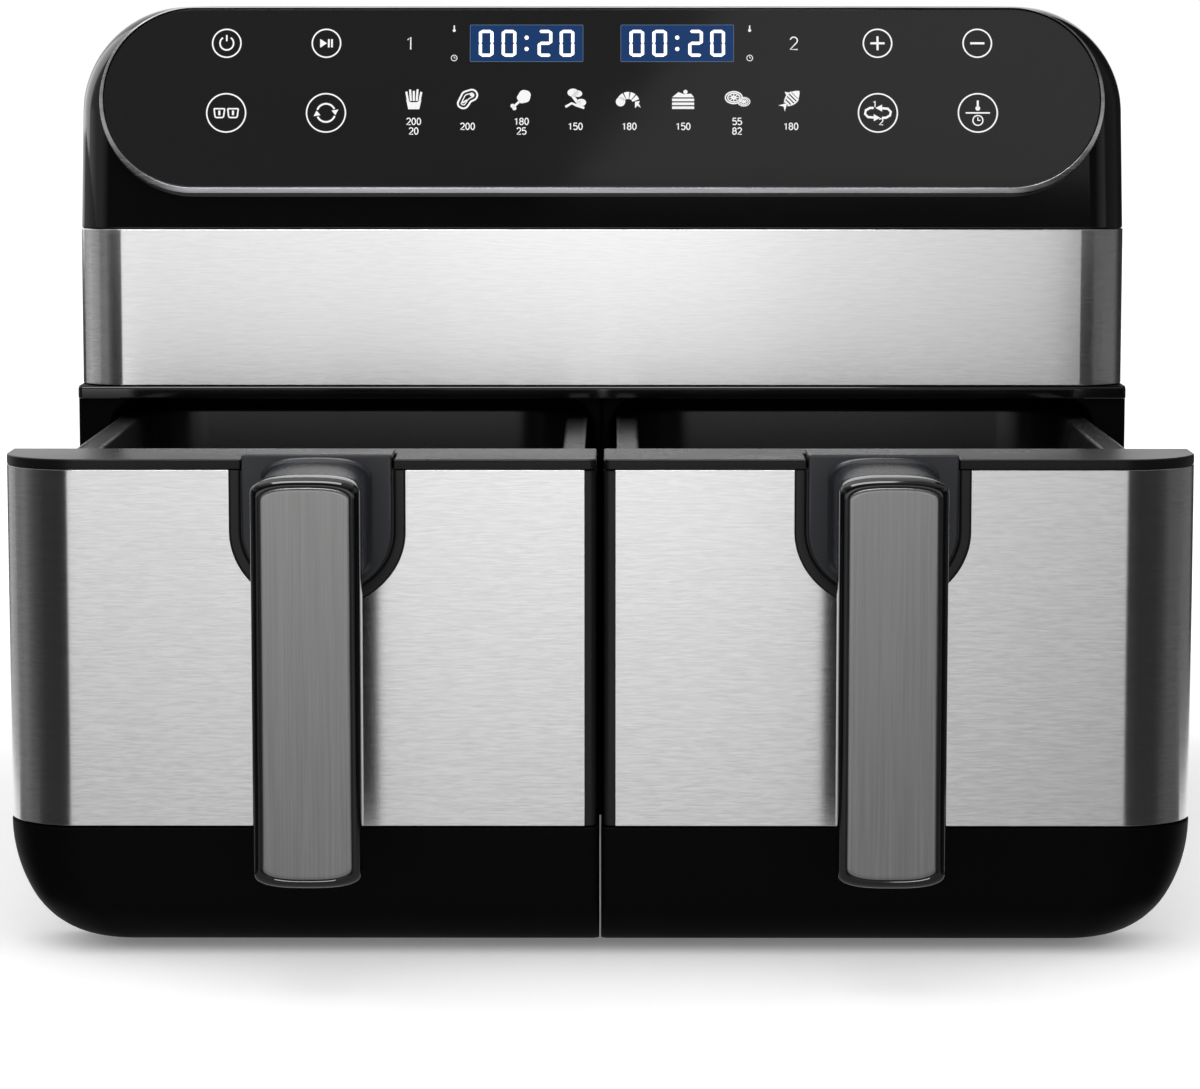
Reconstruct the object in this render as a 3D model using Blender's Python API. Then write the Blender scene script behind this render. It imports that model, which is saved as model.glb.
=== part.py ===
"""Air fryer with two drawers, in metres, +Z up, front towards -Y.

The origin is on the surface it stands on, under the middle of the whole object.
Both drawers are modelled pulled out by DRAWER_OUT.
"""
import math

import bmesh
import bpy
from mathutils import Vector

GAP = 0.0003                # air left between neighbouring pieces
HALF_WIDTH = 0.200
HEIGHT = 0.3188
BAND_FRONT = -0.0130        # front plane of the steel band
HOUSING_REAR = 0.2587
REAR_FACE = 0.2617
WALL = 0.0025
FOOT_HEIGHT = 0.008
FOOT_RADIUS = 0.010
FOOT_X = 0.155
FOOT_Y = (0.012, 0.235)

BAND_BOTTOM = 0.1750
BAND_TOP = 0.2344
BAND_SHEET = 0.0008
BAND_CORNER = 0.018         # radius in plan of the band's front corners
LIP_BOTTOM = 0.1700
FRAME_FRONT = -0.0115
FRAME_REAR = -0.0040
LOW_CORNER = 0.030          # radius of the casing's bottom corners, seen from the front

LEAN = math.radians(12)     # backward lean of the panel face
COVER_FRONT = -0.0120
COVER_HALF = 0.1996
COVER_CORNER = 0.015        # radius in plan of the cover's front corners
COVER_SOFT = 0.0025         # rounding between the leaning face and the top
TOP_CORNER = 0.040          # radius of the cover's top corners, seen from the front
PANEL_Z = 0.2826
PANEL_HALF = (0.1914, 0.0361)
RING_WIDTH = 0.0014
RING_TOP = 0.0040           # heights above the panel face
RING_EDGE = 0.0034
GLASS_RISE = 0.0008         # the glass sits this much above the ring's middle, so the ring is wide below
GLASS_TOP = 0.0034
BOARD_BACK = -0.0116
DISPLAY_X = 0.0287
DISPLAY_V = 0.0219
DISPLAY_HALF = (0.0215, 0.0072)

SIDE_X = 0.09525            # middle of one cooking zone
FAN_Y = 0.115
LINER_X = (0.0025, 0.1885)
LINER_Z = (0.0135, 0.2055)
LINER_REAR = 0.2320
LINER_CORNER = 0.012
LINER_SHEET = 0.0007
DECK_SHEET = 0.0010
OPENING_TOP = 0.1697

DRAWER_OUT = 0.175          # how far both drawers stand out of the casing
DRAWER_X = (0.0012, 0.200)
DRAWER_FRONT = -0.228
FRONT_DEPTH = 0.040
DRAWER_BACK = DRAWER_FRONT + FRONT_DEPTH
DRAWER_CORNER = 0.026       # radius in plan of a drawer's outer front corner
INNER_CORNER = 0.0024       # radius in plan of its inner front corner
DRAWER_BOTTOM = 0.0028
SKIN_BOTTOM = 0.0439
SKIN_TOP = 0.1634
RIM_TOP = 0.1670
STEEL_SHEET = 0.0005
SKIN_INNER_X = 0.0052
LOW_CURVE = (0.034, 0.0408)  # width and height of the lower cover's outer curve
LOW_EDGE = 0.016

HANDLE_X = 0.0938
GRIP_HALF = 0.0175
GRIP_Z = (0.0337, 0.1665)
GRIP_FRONT = -0.2860
GRIP_REAR = -0.2700
GRIP_ARCH = 0.0055
NECK_BOTTOM = 0.128
BEZEL_HALF = 0.02935
BEZEL_STRAIGHT_TO = 0.1431  # where the sides of the steel cut-out start to curve in
BEZEL_CURVE = 0.026
PLATE_INSET = 0.0043
PLATE_FRONT = -0.2310
CAP_TOP = 0.1686
CAP_BACK = -0.2060

BASKET_X = (0.0055, 0.185)
BASKET_Y = (DRAWER_BACK + GAP, 0.047)
BASKET_TOP = 0.1625
BASKET_FLOOR = 0.0195
BASKET_CORNER = 0.026
SHEET = 0.001
TRAY_INSET = 0.0176
TRAY_Z = (0.0300, 0.0312)
BUMPER_Z = (0.0284, 0.0360)
SWITCH_Z = 0.1590
PLUNGER_TIP = 0.2224


# ---- outlines and skins ----

def arc(before, corner, after, radius, steps):
    """Points of the arc that rounds one corner of an outline."""
    back = (before - corner).normalized()
    ahead = (after - corner).normalized()
    half = back.angle(ahead) / 2
    centre = corner + (back + ahead).normalized() * radius / math.sin(half)
    start = corner + back * radius / math.tan(half) - centre
    end = corner + ahead * radius / math.tan(half) - centre
    first = math.atan2(start.y, start.x)
    turn = math.atan2(end.y, end.x) - first
    turn = (turn + math.pi) % math.tau - math.pi
    angles = [first + turn * k / steps for k in range(steps + 1)]
    return [centre + Vector((math.cos(a), math.sin(a))) * radius for a in angles]


def outline(corners, steps=5):
    """Closed outline through (u, v, radius) corners; radius 0 keeps a corner sharp."""
    spots = [Vector(c[:2]) for c in corners]
    points = []
    for i, (_, _, radius) in enumerate(corners):
        if radius:
            following = spots[(i + 1) % len(spots)]
            points += arc(spots[i - 1], spots[i], following, radius, steps)
        else:
            points.append(spots[i])
    return points


def rectangle(low, high, radius=0.0, steps=3):
    """Rectangle between two corners, with all four corners rounded alike."""
    spots = [(low[0], low[1]), (high[0], low[1]), (high[0], high[1]), (low[0], high[1])]
    return outline([(u, v, radius) for u, v in spots], steps)


def circle(radius, steps=24, centre=(0.0, 0.0)):
    """Regular polygon of many sides."""
    turns = [math.tau * k / steps for k in range(steps)]
    return [Vector((centre[0] + radius * math.cos(a), centre[1] + radius * math.sin(a)))
            for a in turns]


def at_height(points, plane, height):
    """Flat outline set in space, in plane xy, xz or yz, at a height on the third axis."""
    if plane == "xy":
        return [(p.x, p.y, height) for p in points]
    if plane == "xz":
        return [(p.x, height, p.y) for p in points]
    return [(height, p.x, p.y) for p in points]


def loft(rings, closed=False):
    """Skin over rings of equal length, capped at both ends or closed on itself."""
    count = len(rings[0])
    points = [p for ring in rings for p in ring]
    pairs = [(k, k + 1) for k in range(len(rings) - 1)]
    if closed:
        pairs.append((len(rings) - 1, 0))
    faces = []
    for a, b in pairs:
        for i in range(count):
            j = (i + 1) % count
            faces.append((a * count + i, a * count + j, b * count + j, b * count + i))
    if not closed:
        last = (len(rings) - 1) * count
        faces.append(tuple(range(count)))
        faces.append(tuple(range(last, last + count)))
    return points, faces


def prism(shape, plane, low, high):
    """Outline pushed straight from one height to another."""
    return loft([at_height(shape, plane, low), at_height(shape, plane, high)])


def box(low, high):
    """Plain block between two corners."""
    return prism(rectangle(low[:2], high[:2]), "xy", low[2], high[2])


def turned(profile, plane, centre, steps=24, closed=False):
    """Round piece: circles of (radius, height) about an axis square to the plane."""
    rings = [at_height(circle(r, steps, centre), plane, h) for r, h in profile]
    return loft(rings, closed)


def together(skins):
    """Several skins in one mesh, for a tool that cuts or adds many shapes at once."""
    points = []
    faces = []
    for more, theirs in skins:
        faces += [tuple(len(points) + i for i in face) for face in theirs]
        points += more
    return points, faces


# ---- objects and materials ----

def material(name, colour, roughness, metallic=0.0):
    """Principled material with one plain colour."""
    made = bpy.data.materials.new(name)
    made.use_nodes = True
    shader = made.node_tree.nodes["Principled BSDF"]
    shader.inputs["Base Color"].default_value = (*colour, 1.0)
    shader.inputs["Roughness"].default_value = roughness
    shader.inputs["Metallic"].default_value = metallic
    return made


def make_materials():
    """Every finish on the object, by name."""
    finishes = {
        "gloss_black": ((0.010, 0.010, 0.012), 0.16, 0.0),
        "matte_black": ((0.012, 0.012, 0.013), 0.55, 0.0),
        "satin_rim": ((0.055, 0.054, 0.055), 0.35, 0.0),
        "brushed_steel": ((0.62, 0.62, 0.63), 0.32, 1.0),
        "handle_steel": ((0.27, 0.27, 0.27), 0.36, 1.0),
        "trim_silver": ((0.45, 0.45, 0.46), 0.25, 1.0),
        "black_glass": ((0.014, 0.014, 0.014), 0.06, 0.0),
        "display_blue": ((0.008, 0.036, 0.138), 0.20, 0.0),
        "bezel_navy": ((0.012, 0.016, 0.022), 0.30, 0.0),
        "nonstick": ((0.030, 0.031, 0.032), 0.42, 0.0),
        "rubber": ((0.015, 0.015, 0.015), 0.80, 0.0),
        "silicone": ((0.090, 0.090, 0.095), 0.60, 0.0),
        "liner_steel": ((0.35, 0.35, 0.36), 0.40, 1.0),
        "heater_metal": ((0.20, 0.19, 0.18), 0.45, 1.0),
        "motor_metal": ((0.42, 0.42, 0.43), 0.40, 1.0),
        "fan_aluminium": ((0.66, 0.66, 0.67), 0.35, 1.0),
        "board_green": ((0.020, 0.120, 0.050), 0.50, 0.0),
    }
    return {name: material(name, *values) for name, values in finishes.items()}


def add_part(name, skin, finish=None, origin=(0, 0, 0), parent=None, side=1):
    """One closed body; its skin is in world places, mirrored to -X where side is -1."""
    points, faces = skin
    mesh = bpy.data.meshes.new(name)
    mesh.from_pydata([(p[0] * side - origin[0], p[1] - origin[1], p[2] - origin[2])
                      for p in points], [], faces)
    edit = bmesh.new()
    edit.from_mesh(mesh)
    bmesh.ops.recalc_face_normals(edit, faces=edit.faces)
    edit.to_mesh(mesh)
    edit.free()
    mesh.shade_smooth()
    mesh.set_sharp_from_angle(angle=math.radians(32))
    if finish:
        mesh.materials.append(finish)
    made = bpy.data.objects.new(name, mesh)
    made.location = Vector(origin) - (parent.location if parent else Vector())
    made.parent = parent
    bpy.context.collection.objects.link(made)
    return made


def shape_with(piece, skin, operation="DIFFERENCE", side=1):
    """Cuts a hidden tool out of a piece, or adds the tool to it with UNION."""
    tool = add_part(piece.name + "_tool", skin, side=side)
    tool.hide_render = True
    tool.display_type = "WIRE"
    change = piece.modifiers.new(operation.lower(), "BOOLEAN")
    change.operation = operation
    change.solver = "EXACT"
    change.object = tool
    if piece.rotation_euler.x:
        tool.location = piece.location
        tool.rotation_euler = piece.rotation_euler


def axis_empty(name, spot):
    """Empty that carries a moving body's pieces, on its joint's axis."""
    empty = bpy.data.objects.new(name, None)
    empty.empty_display_size = 0.03
    empty.location = spot
    bpy.context.collection.objects.link(empty)
    return empty


# ---- casing ----

def make_lower_housing(finish):
    """Floor and side walls, open at the front and the top."""
    inner = HALF_WIDTH - 0.0037
    upper = HALF_WIDTH - BAND_SHEET - GAP
    step = BAND_BOTTOM - GAP
    top = BAND_TOP - GAP
    bottom = FOOT_HEIGHT + GAP
    corner = LOW_CORNER
    right = [(HALF_WIDTH, bottom, corner), (HALF_WIDTH, step, 0), (upper, step, 0),
             (upper, top, 0), (inner, top, 0), (inner, bottom + WALL, corner - WALL)]
    left = [(-x, z, r) for x, z, r in reversed(right)]
    profile = outline(right + left)
    body = add_part("lower_housing", prism(profile, "xz", FRAME_REAR + GAP, HOUSING_REAR), finish)
    past = 0.010
    corner_end = BAND_FRONT + BAND_CORNER + GAP
    shape_with(body, box((-HALF_WIDTH - past, FRAME_REAR - past, step),
                         (HALF_WIDTH + past, corner_end, top + past)))


def make_front_frame(finish):
    """Plate with the two drawer openings; its narrower top backs the steel band."""
    bottom = FOOT_HEIGHT + GAP
    step = BAND_BOTTOM - GAP
    narrow = HALF_WIDTH - BAND_CORNER - 0.002
    right = [(HALF_WIDTH, bottom, LOW_CORNER), (HALF_WIDTH, step, 0), (narrow, step, 0),
             (narrow, BAND_TOP - GAP, 0)]
    left = [(-x, z, r) for x, z, r in reversed(right)]
    frame = add_part("front_frame", prism(outline(right + left), "xz", FRAME_FRONT, FRAME_REAR),
                     finish)
    low = (LINER_X[0] + LINER_SHEET, LINER_Z[0] + LINER_SHEET)
    high = (LINER_X[1] - LINER_SHEET, OPENING_TOP)
    past = 0.004
    holes = []
    for side in (-1, 1):
        ends = sorted((low[0] * side, high[0] * side))
        shape = rectangle((ends[0], low[1]), (ends[1], high[1]), LINER_CORNER - LINER_SHEET)
        holes.append(prism(shape, "xz", FRAME_FRONT - past, FRAME_REAR + past))
    shape_with(frame, together(holes))


def make_band_lip(finish):
    """Narrow bar under the steel band."""
    front = BAND_FRONT - 0.0006
    rear = FRAME_FRONT - GAP
    corner = rear - front - 0.0002
    plan = outline([(-HALF_WIDTH, front, corner), (HALF_WIDTH, front, corner),
                    (HALF_WIDTH, rear, 0), (-HALF_WIDTH, rear, 0)], 4)
    add_part("band_lip", prism(plan, "xy", LIP_BOTTOM, BAND_BOTTOM - GAP), finish)


def band_side(inset):
    """Plan of the band's face from the rear left, round the front, to the rear right."""
    x = HALF_WIDTH - inset
    front = BAND_FRONT + inset
    return [(-x, HOUSING_REAR, 0), (-x, front, BAND_CORNER - inset),
            (x, front, BAND_CORNER - inset), (x, HOUSING_REAR, 0)]


def make_steel_band(finish):
    """Bent sheet across the front and along both sides."""
    plan = outline(band_side(0) + band_side(BAND_SHEET)[::-1], 8)
    add_part("steel_band", prism(plan, "xy", BAND_BOTTOM, BAND_TOP), finish)


def cover_ring(z, inset=0.0):
    """Plan outline of the top cover at a height: leaning front, round top corners."""
    above = max(z - (HEIGHT - TOP_CORNER), 0.0)
    x = COVER_HALF - TOP_CORNER + math.sqrt(max(TOP_CORNER ** 2 - above ** 2, 0.0)) - inset
    high = max(z - (HEIGHT - COVER_SOFT), 0.0)
    back = COVER_SOFT - math.sqrt(max(COVER_SOFT ** 2 - high ** 2, 0.0))
    front = COVER_FRONT + (z - BAND_TOP - GAP) * math.tan(LEAN) + back + inset
    rear = HOUSING_REAR - inset
    corner = COVER_CORNER - inset
    rear_corner = 0.004
    return at_height(outline([(-x, front, corner), (x, front, corner), (x, rear, rear_corner),
                              (-x, rear, rear_corner)], 6), "xy", z)


def make_top_cover(finish):
    """Shell over the works, open below."""
    bottom = BAND_TOP + GAP
    bend = HEIGHT - TOP_CORNER
    turns = [math.radians(a) for a in (0, 18, 36, 54, 70, 80, 90)]
    outer = [bend + TOP_CORNER * math.sin(a) for a in turns]
    inner = [bend + (TOP_CORNER - WALL) * math.sin(a) for a in turns[::2]]
    inside = [cover_ring(z, WALL) for z in reversed([bottom] + inner)]
    add_part("top_cover", loft(inside + [cover_ring(z) for z in [bottom] + outer]), finish)


def make_rear_cover(finish):
    """Flat rear wall with two fields of narrow vent slots."""
    edge = HALF_WIDTH - 0.0005
    shape = outline([(edge, FOOT_HEIGHT + 0.001, LOW_CORNER), (edge, HEIGHT - 0.0005, TOP_CORNER),
                     (-edge, HEIGHT - 0.0005, TOP_CORNER), (-edge, FOOT_HEIGHT + 0.001, LOW_CORNER)], 8)
    cover = add_part("rear_cover", prism(shape, "xz", HOUSING_REAR + GAP, REAR_FACE), finish)
    rows = 8
    slot_half = 0.035
    slot_tall = 0.003
    past = 0.002
    slots = []
    for side in (-1, 1):
        for row in range(rows):
            z = 0.216 + 3 * slot_tall * row
            low = (side * SIDE_X - slot_half, HOUSING_REAR - past, z)
            high = (side * SIDE_X + slot_half, REAR_FACE + past, z + slot_tall)
            slots.append(box(low, high))
    shape_with(cover, together(slots))


def make_feet(finish):
    """Four turned rubber feet."""
    names = {(-1, 0): "foot_front_left", (1, 0): "foot_front_right",
             (-1, 1): "foot_rear_left", (1, 1): "foot_rear_right"}
    for (side, row), name in names.items():
        centre = (FOOT_X * side, FOOT_Y[row])
        profile = [(FOOT_RADIUS - 0.001, 0.0), (FOOT_RADIUS, 0.001), (FOOT_RADIUS, FOOT_HEIGHT)]
        add_part(name, turned(profile, "xy", centre, 16), finish, (*centre, 0.0))


def make_cord_gland(finish):
    """Bored bush where the mains lead would leave the rear cover."""
    front = REAR_FACE + GAP
    end = -(GRIP_FRONT - 0.0001)
    profile = [(0.0036, front), (0.010, front), (0.010, front + 0.003), (0.0075, front + 0.004),
               (0.0062, end), (0.0036, end)]
    add_part("cord_gland", turned(profile, "xz", (0.150, 0.035), 20, closed=True), finish,
             (0.150, REAR_FACE, 0.035))


# ---- control panel ----

def on_panel(made):
    """Lays a piece made flat in xy on the leaning panel face, its +Z outwards."""
    rise = PANEL_Z - (BAND_TOP + GAP)
    made.location = (0, COVER_FRONT + rise * math.tan(LEAN), PANEL_Z)
    made.rotation_euler = (math.pi / 2 - LEAN, 0, 0)


def stadium(inset, rise=0.0):
    """Outline of the panel with fully round ends."""
    half_u = PANEL_HALF[0] - inset
    half_v = PANEL_HALF[1] - inset
    return rectangle((-half_u, rise - half_v), (half_u, rise + half_v), half_v - 0.0001, 9)


def make_panel(finishes):
    """Trim ring, touch glass and the two displays in its windows."""
    outer = stadium(0.0)
    inner = stadium(RING_WIDTH, GLASS_RISE)
    rings = [at_height(outer, "xy", GAP), at_height(outer, "xy", RING_EDGE),
             at_height(inner, "xy", RING_TOP), at_height(inner, "xy", GAP)]
    on_panel(add_part("panel_ring", loft(rings, closed=True), finishes["trim_silver"]))
    glass = add_part("control_glass", prism(stadium(RING_WIDTH + GAP, GLASS_RISE), "xy", GAP, GLASS_TOP),
                     finishes["black_glass"])
    on_panel(glass)
    windows = []
    for side, name in ((-1, "left_display"), (1, "right_display")):
        low = (side * DISPLAY_X - DISPLAY_HALF[0], DISPLAY_V - DISPLAY_HALF[1])
        high = (side * DISPLAY_X + DISPLAY_HALF[0], DISPLAY_V + DISPLAY_HALF[1])
        lens = add_part(name, box((low[0] + GAP, low[1] + GAP, GAP),
                                  (high[0] - GAP, high[1] - GAP, GLASS_TOP - 0.0002)),
                        finishes["display_blue"])
        on_panel(lens)
        windows.append(box((*low, -0.001), (*high, 0.005)))
    shape_with(glass, together(windows))
    board = add_part("control_board", box((-0.160, -0.028, BOARD_BACK), (0.160, 0.028, BOARD_BACK + 0.0016)),
                     finishes["board_green"])
    on_panel(board)


# ---- works inside the casing ----

def make_motor_deck(finish):
    """Sheet across both cavities, with a shaft hole over each."""
    z = LINER_Z[1] + 0.002
    deck = add_part("motor_deck", box((-0.193, 0.010, z), (0.193, 0.250, z + DECK_SHEET)), finish)
    holes = [turned([(0.006, z - 0.003), (0.006, z + 0.005)], "xy", (side * SIDE_X, FAN_Y), 16)
             for side in (-1, 1)]
    shape_with(deck, together(holes))


def make_power_board(finish):
    """Board with relay, transformer and capacitor blocks, between the motors."""
    z = 0.2150
    board = add_part("power_board", box((-0.060, 0.060, z), (0.060, 0.180, z + 0.0016)), finish)
    blocks = [((-0.050, 0.070), (-0.020, 0.100), 0.020), ((-0.010, 0.070), (0.025, 0.110), 0.028),
              ((0.032, 0.130), (0.052, 0.165), 0.018), ((-0.045, 0.125), (-0.015, 0.150), 0.015)]
    shape_with(board, together([box((*a, z + 0.0005), (*b, z + tall)) for a, b, tall in blocks]),
               "UNION")


def make_liner(side, name, finish):
    """Deep-drawn cavity, open to the front, with shaft and plunger holes."""
    ring = rectangle((LINER_X[0], LINER_Z[0]), (LINER_X[1], LINER_Z[1]), LINER_CORNER)
    hollow = rectangle((LINER_X[0] + LINER_SHEET, LINER_Z[0] + LINER_SHEET),
                       (LINER_X[1] - LINER_SHEET, LINER_Z[1] - LINER_SHEET),
                       LINER_CORNER - LINER_SHEET)
    front = FRAME_REAR + GAP
    rings = [at_height(ring, "xz", LINER_REAR), at_height(ring, "xz", front),
             at_height(hollow, "xz", front), at_height(hollow, "xz", LINER_REAR - LINER_SHEET)]
    liner = add_part(name, loft(rings), finish, side=side)
    shaft = turned([(0.006, LINER_Z[1] - 0.004), (0.006, LINER_Z[1] + 0.004)], "xy",
                   (SIDE_X, FAN_Y), 16)
    plunger = turned([(0.003, LINER_REAR - 0.004), (0.003, LINER_REAR + 0.004)], "xz",
                     (SIDE_X, SWITCH_Z), 12)
    shape_with(liner, together([shaft, plunger]), side=side)


def make_heater(side, name, finish):
    """Flat spiral of round tube, just over two turns."""
    turns = 2.2
    steps = 46
    sides = 6
    tube = 0.003
    level = 0.1815
    rings = []
    for k in range(steps + 1):
        share = k / steps
        angle = share * turns * math.tau
        radius = 0.034 + 0.040 * share
        out = Vector((math.cos(angle), math.sin(angle), 0))
        spot = Vector((SIDE_X, FAN_Y, level)) + out * radius
        rings.append([tuple(spot + out * (tube * math.cos(math.tau * n / sides))
                            + Vector((0, 0, tube * math.sin(math.tau * n / sides))))
                      for n in range(sides)])
    add_part(name, loft(rings), finish, (side * SIDE_X, FAN_Y, level), side=side)


def make_heater_guard(side, name, finish):
    """Slotted sheet between the heater and the basket."""
    low = (LINER_X[0] + 0.003, 0.002)
    high = (LINER_X[1] - 0.003, 0.228)
    level = (0.1725, 0.1735)
    guard = add_part(name, prism(rectangle(low, high, 0.008), "xy", *level), finish, side=side)
    border = 0.014
    past = 0.002
    slot_deep = 0.012
    slots = []
    for k in range(9):
        y = 0.019 + 2 * slot_deep * k
        slots.append(box((low[0] + border, y, level[0] - past),
                         (high[0] - border, y + slot_deep, level[1] + past)))
    shape_with(guard, together(slots), side=side)


def make_motor(side, name, finish):
    """Round motor case with a bore for the shaft."""
    base = LINER_Z[1] + 0.0035 + GAP
    top = base + 0.036
    bore = 0.0043
    wide = 0.028
    profile = [(bore, base), (wide, base), (wide, top - 0.003), (wide - 0.004, top), (bore, top)]
    add_part(name, turned(profile, "xy", (SIDE_X, FAN_Y), 20, closed=True), finish,
             (side * SIDE_X, FAN_Y, base), side=side)


def make_switch(side, name, finish):
    """Switch case behind the liner with a blind hole for its plunger."""
    low = (SIDE_X - 0.010, LINER_REAR + GAP, SWITCH_Z - 0.014)
    high = (SIDE_X + 0.010, LINER_REAR + 0.013, SWITCH_Z + 0.008)
    case = add_part(name, box(low, high), finish, side=side)
    bore = turned([(0.0026, LINER_REAR - 0.002), (0.0026, LINER_REAR + 0.0085)], "xz",
                  (SIDE_X, SWITCH_Z), 12)
    shape_with(case, bore, side=side)


def make_fan(side, prefix, finishes):
    """Shaft and bladed fan, carried by an empty on the spin axis."""
    spot = (side * SIDE_X, FAN_Y, 0.194)
    axis = axis_empty(prefix + "_fan_spin", spot)
    centre = (SIDE_X, FAN_Y)
    add_part(prefix + "_fan_shaft", turned([(0.0035, 0.187), (0.004, 0.1875), (0.004, 0.252)],
                                           "xy", centre, 12),
             finishes["motor_metal"], spot, axis, side)
    blades = 8
    hub = 0.013
    tip = 0.050
    outer = []
    inner = []
    for k in range(blades):
        for shift, radius in ((-0.20, hub), (-0.06, tip), (0.06, tip), (0.20, hub)):
            angle = math.tau * k / blades + shift
            way = Vector((math.cos(angle), math.sin(angle)))
            outer.append(Vector(centre) + way * radius)
            inner.append(Vector(centre) + way * (0.004 + GAP))
    low = 0.188
    high = 0.200
    rings = [at_height(inner, "xy", low), at_height(outer, "xy", low),
             at_height(outer, "xy", high), at_height(inner, "xy", high)]
    add_part(prefix + "_convection_fan", loft(rings, closed=True), finishes["fan_aluminium"],
             spot, axis, side)


def make_plunger(side, prefix, finish):
    """Round pin that the closing basket pushes into the switch."""
    spot = (side * SIDE_X, PLUNGER_TIP, SWITCH_Z)
    axis = axis_empty(prefix + "_interlock_press", spot)
    profile = [(0.0012, PLUNGER_TIP), (0.0022, PLUNGER_TIP + 0.001), (0.0022, PLUNGER_TIP + 0.0140)]
    add_part(prefix + "_interlock_plunger", turned(profile, "xz", (SIDE_X, SWITCH_Z), 12), finish,
             spot, axis, side)


# ---- drawer ----

def front_plan(inner, outer, front, corner, back=DRAWER_BACK):
    """Plan outline of a drawer front: round at its outer front corner only."""
    return outline([(inner, back, 0), (inner, front, INNER_CORNER), (outer, front, corner),
                    (outer, back, 0)], 7)


def make_core(side, name, finish, parent):
    """Hollow moulding behind the steel skin, open below."""
    set_in = STEEL_SHEET + GAP
    outer = front_plan(DRAWER_X[0], DRAWER_X[1] - set_in, DRAWER_FRONT + set_in, DRAWER_CORNER - set_in)
    inner = front_plan(DRAWER_X[0] + WALL, DRAWER_X[1] - set_in - WALL, DRAWER_FRONT + set_in + WALL,
                       DRAWER_CORNER - set_in - WALL, DRAWER_BACK - WALL)
    rings = [at_height(inner, "xy", SKIN_TOP - WALL), at_height(inner, "xy", SKIN_BOTTOM - GAP),
             at_height(outer, "xy", SKIN_BOTTOM - GAP), at_height(outer, "xy", SKIN_TOP)]
    add_part(name, loft(rings), finish, parent.location, parent, side)


def make_skin(side, name, finish, parent):
    """Bent steel sheet with the U cut-out round the handle."""
    back = DRAWER_BACK - 0.002
    corner = DRAWER_CORNER

    def face(inset):
        return [(SKIN_INNER_X, DRAWER_FRONT + inset, 0),
                (DRAWER_X[1] - inset, DRAWER_FRONT + inset, corner - inset),
                (DRAWER_X[1] - inset, back, 0)]

    plan = outline(face(0) + face(STEEL_SHEET)[::-1], 8)
    skin = add_part(name, prism(plan, "xy", SKIN_BOTTOM, SKIN_TOP), finish, parent.location,
                    parent, side)
    past = 0.004
    cut = prism(bezel_outline(0, SKIN_TOP + past), "xz", DRAWER_FRONT - past, DRAWER_FRONT + past)
    shape_with(skin, cut, side=side)


def make_top_rim(side, name, finish, parent):
    """Black ledge on top of the front, notched for the bezel's cap."""
    notch = BEZEL_HALF - PLATE_INSET + GAP
    back = DRAWER_BACK
    plan = outline([(DRAWER_X[0], back, 0), (DRAWER_X[0], DRAWER_FRONT, INNER_CORNER),
                    (HANDLE_X - notch, DRAWER_FRONT, 0), (HANDLE_X - notch, CAP_BACK + GAP, 0),
                    (HANDLE_X + notch, CAP_BACK + GAP, 0), (HANDLE_X + notch, DRAWER_FRONT, 0),
                    (DRAWER_X[1], DRAWER_FRONT, DRAWER_CORNER), (DRAWER_X[1], back, 0)], 7)
    add_part(name, prism(plan, "xy", SKIN_TOP + GAP, RIM_TOP), finish, parent.location, parent, side)


def low_ring(z, inset):
    """Plan outline of the lower cover at a height, drawn in towards its bottom."""
    top = SKIN_BOTTOM - 2 * GAP
    wide, tall = LOW_CURVE
    down = min((top - z) / tall, 1.0)
    outer = DRAWER_X[1] - wide * (1 - math.sqrt(1 - down ** 2)) - inset
    below = max(DRAWER_BOTTOM + LOW_EDGE - z, 0.0)
    front = DRAWER_FRONT + LOW_EDGE - math.sqrt(max(LOW_EDGE ** 2 - below ** 2, 0.0)) + inset
    plan = front_plan(DRAWER_X[0] + inset, outer, front, DRAWER_CORNER - 0.4 * (DRAWER_X[1] - outer),
                      DRAWER_BACK - inset)
    return at_height(plan, "xy", z)


def make_lower_cover(side, name, finish, parent):
    """Open-topped tray that closes the bottom of a drawer front."""
    top = SKIN_BOTTOM - 2 * GAP
    tall = top - DRAWER_BOTTOM
    levels = [top - tall * math.sin(math.radians(a)) for a in (0, 20, 38, 54, 68, 80, 90)]
    inside = [max(z, DRAWER_BOTTOM + WALL) for z in levels[:-2]]
    outer = [low_ring(z, 0.0) for z in reversed(levels)]
    inner = [low_ring(z, WALL) for z in inside]
    add_part(name, loft(outer + inner), finish, parent.location, parent, side)


def bezel_outline(inset, top):
    """U shape with straight sides and a half ellipse below, round the handle."""
    half = BEZEL_HALF - inset
    depth = BEZEL_CURVE - inset
    points = [Vector((HANDLE_X + half, top)), Vector((HANDLE_X - half, top))]
    for k in range(15):
        angle = math.pi + math.pi * k / 14
        points.append(Vector((HANDLE_X + half * math.cos(angle),
                              BEZEL_STRAIGHT_TO + depth * math.sin(angle))))
    return points


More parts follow.
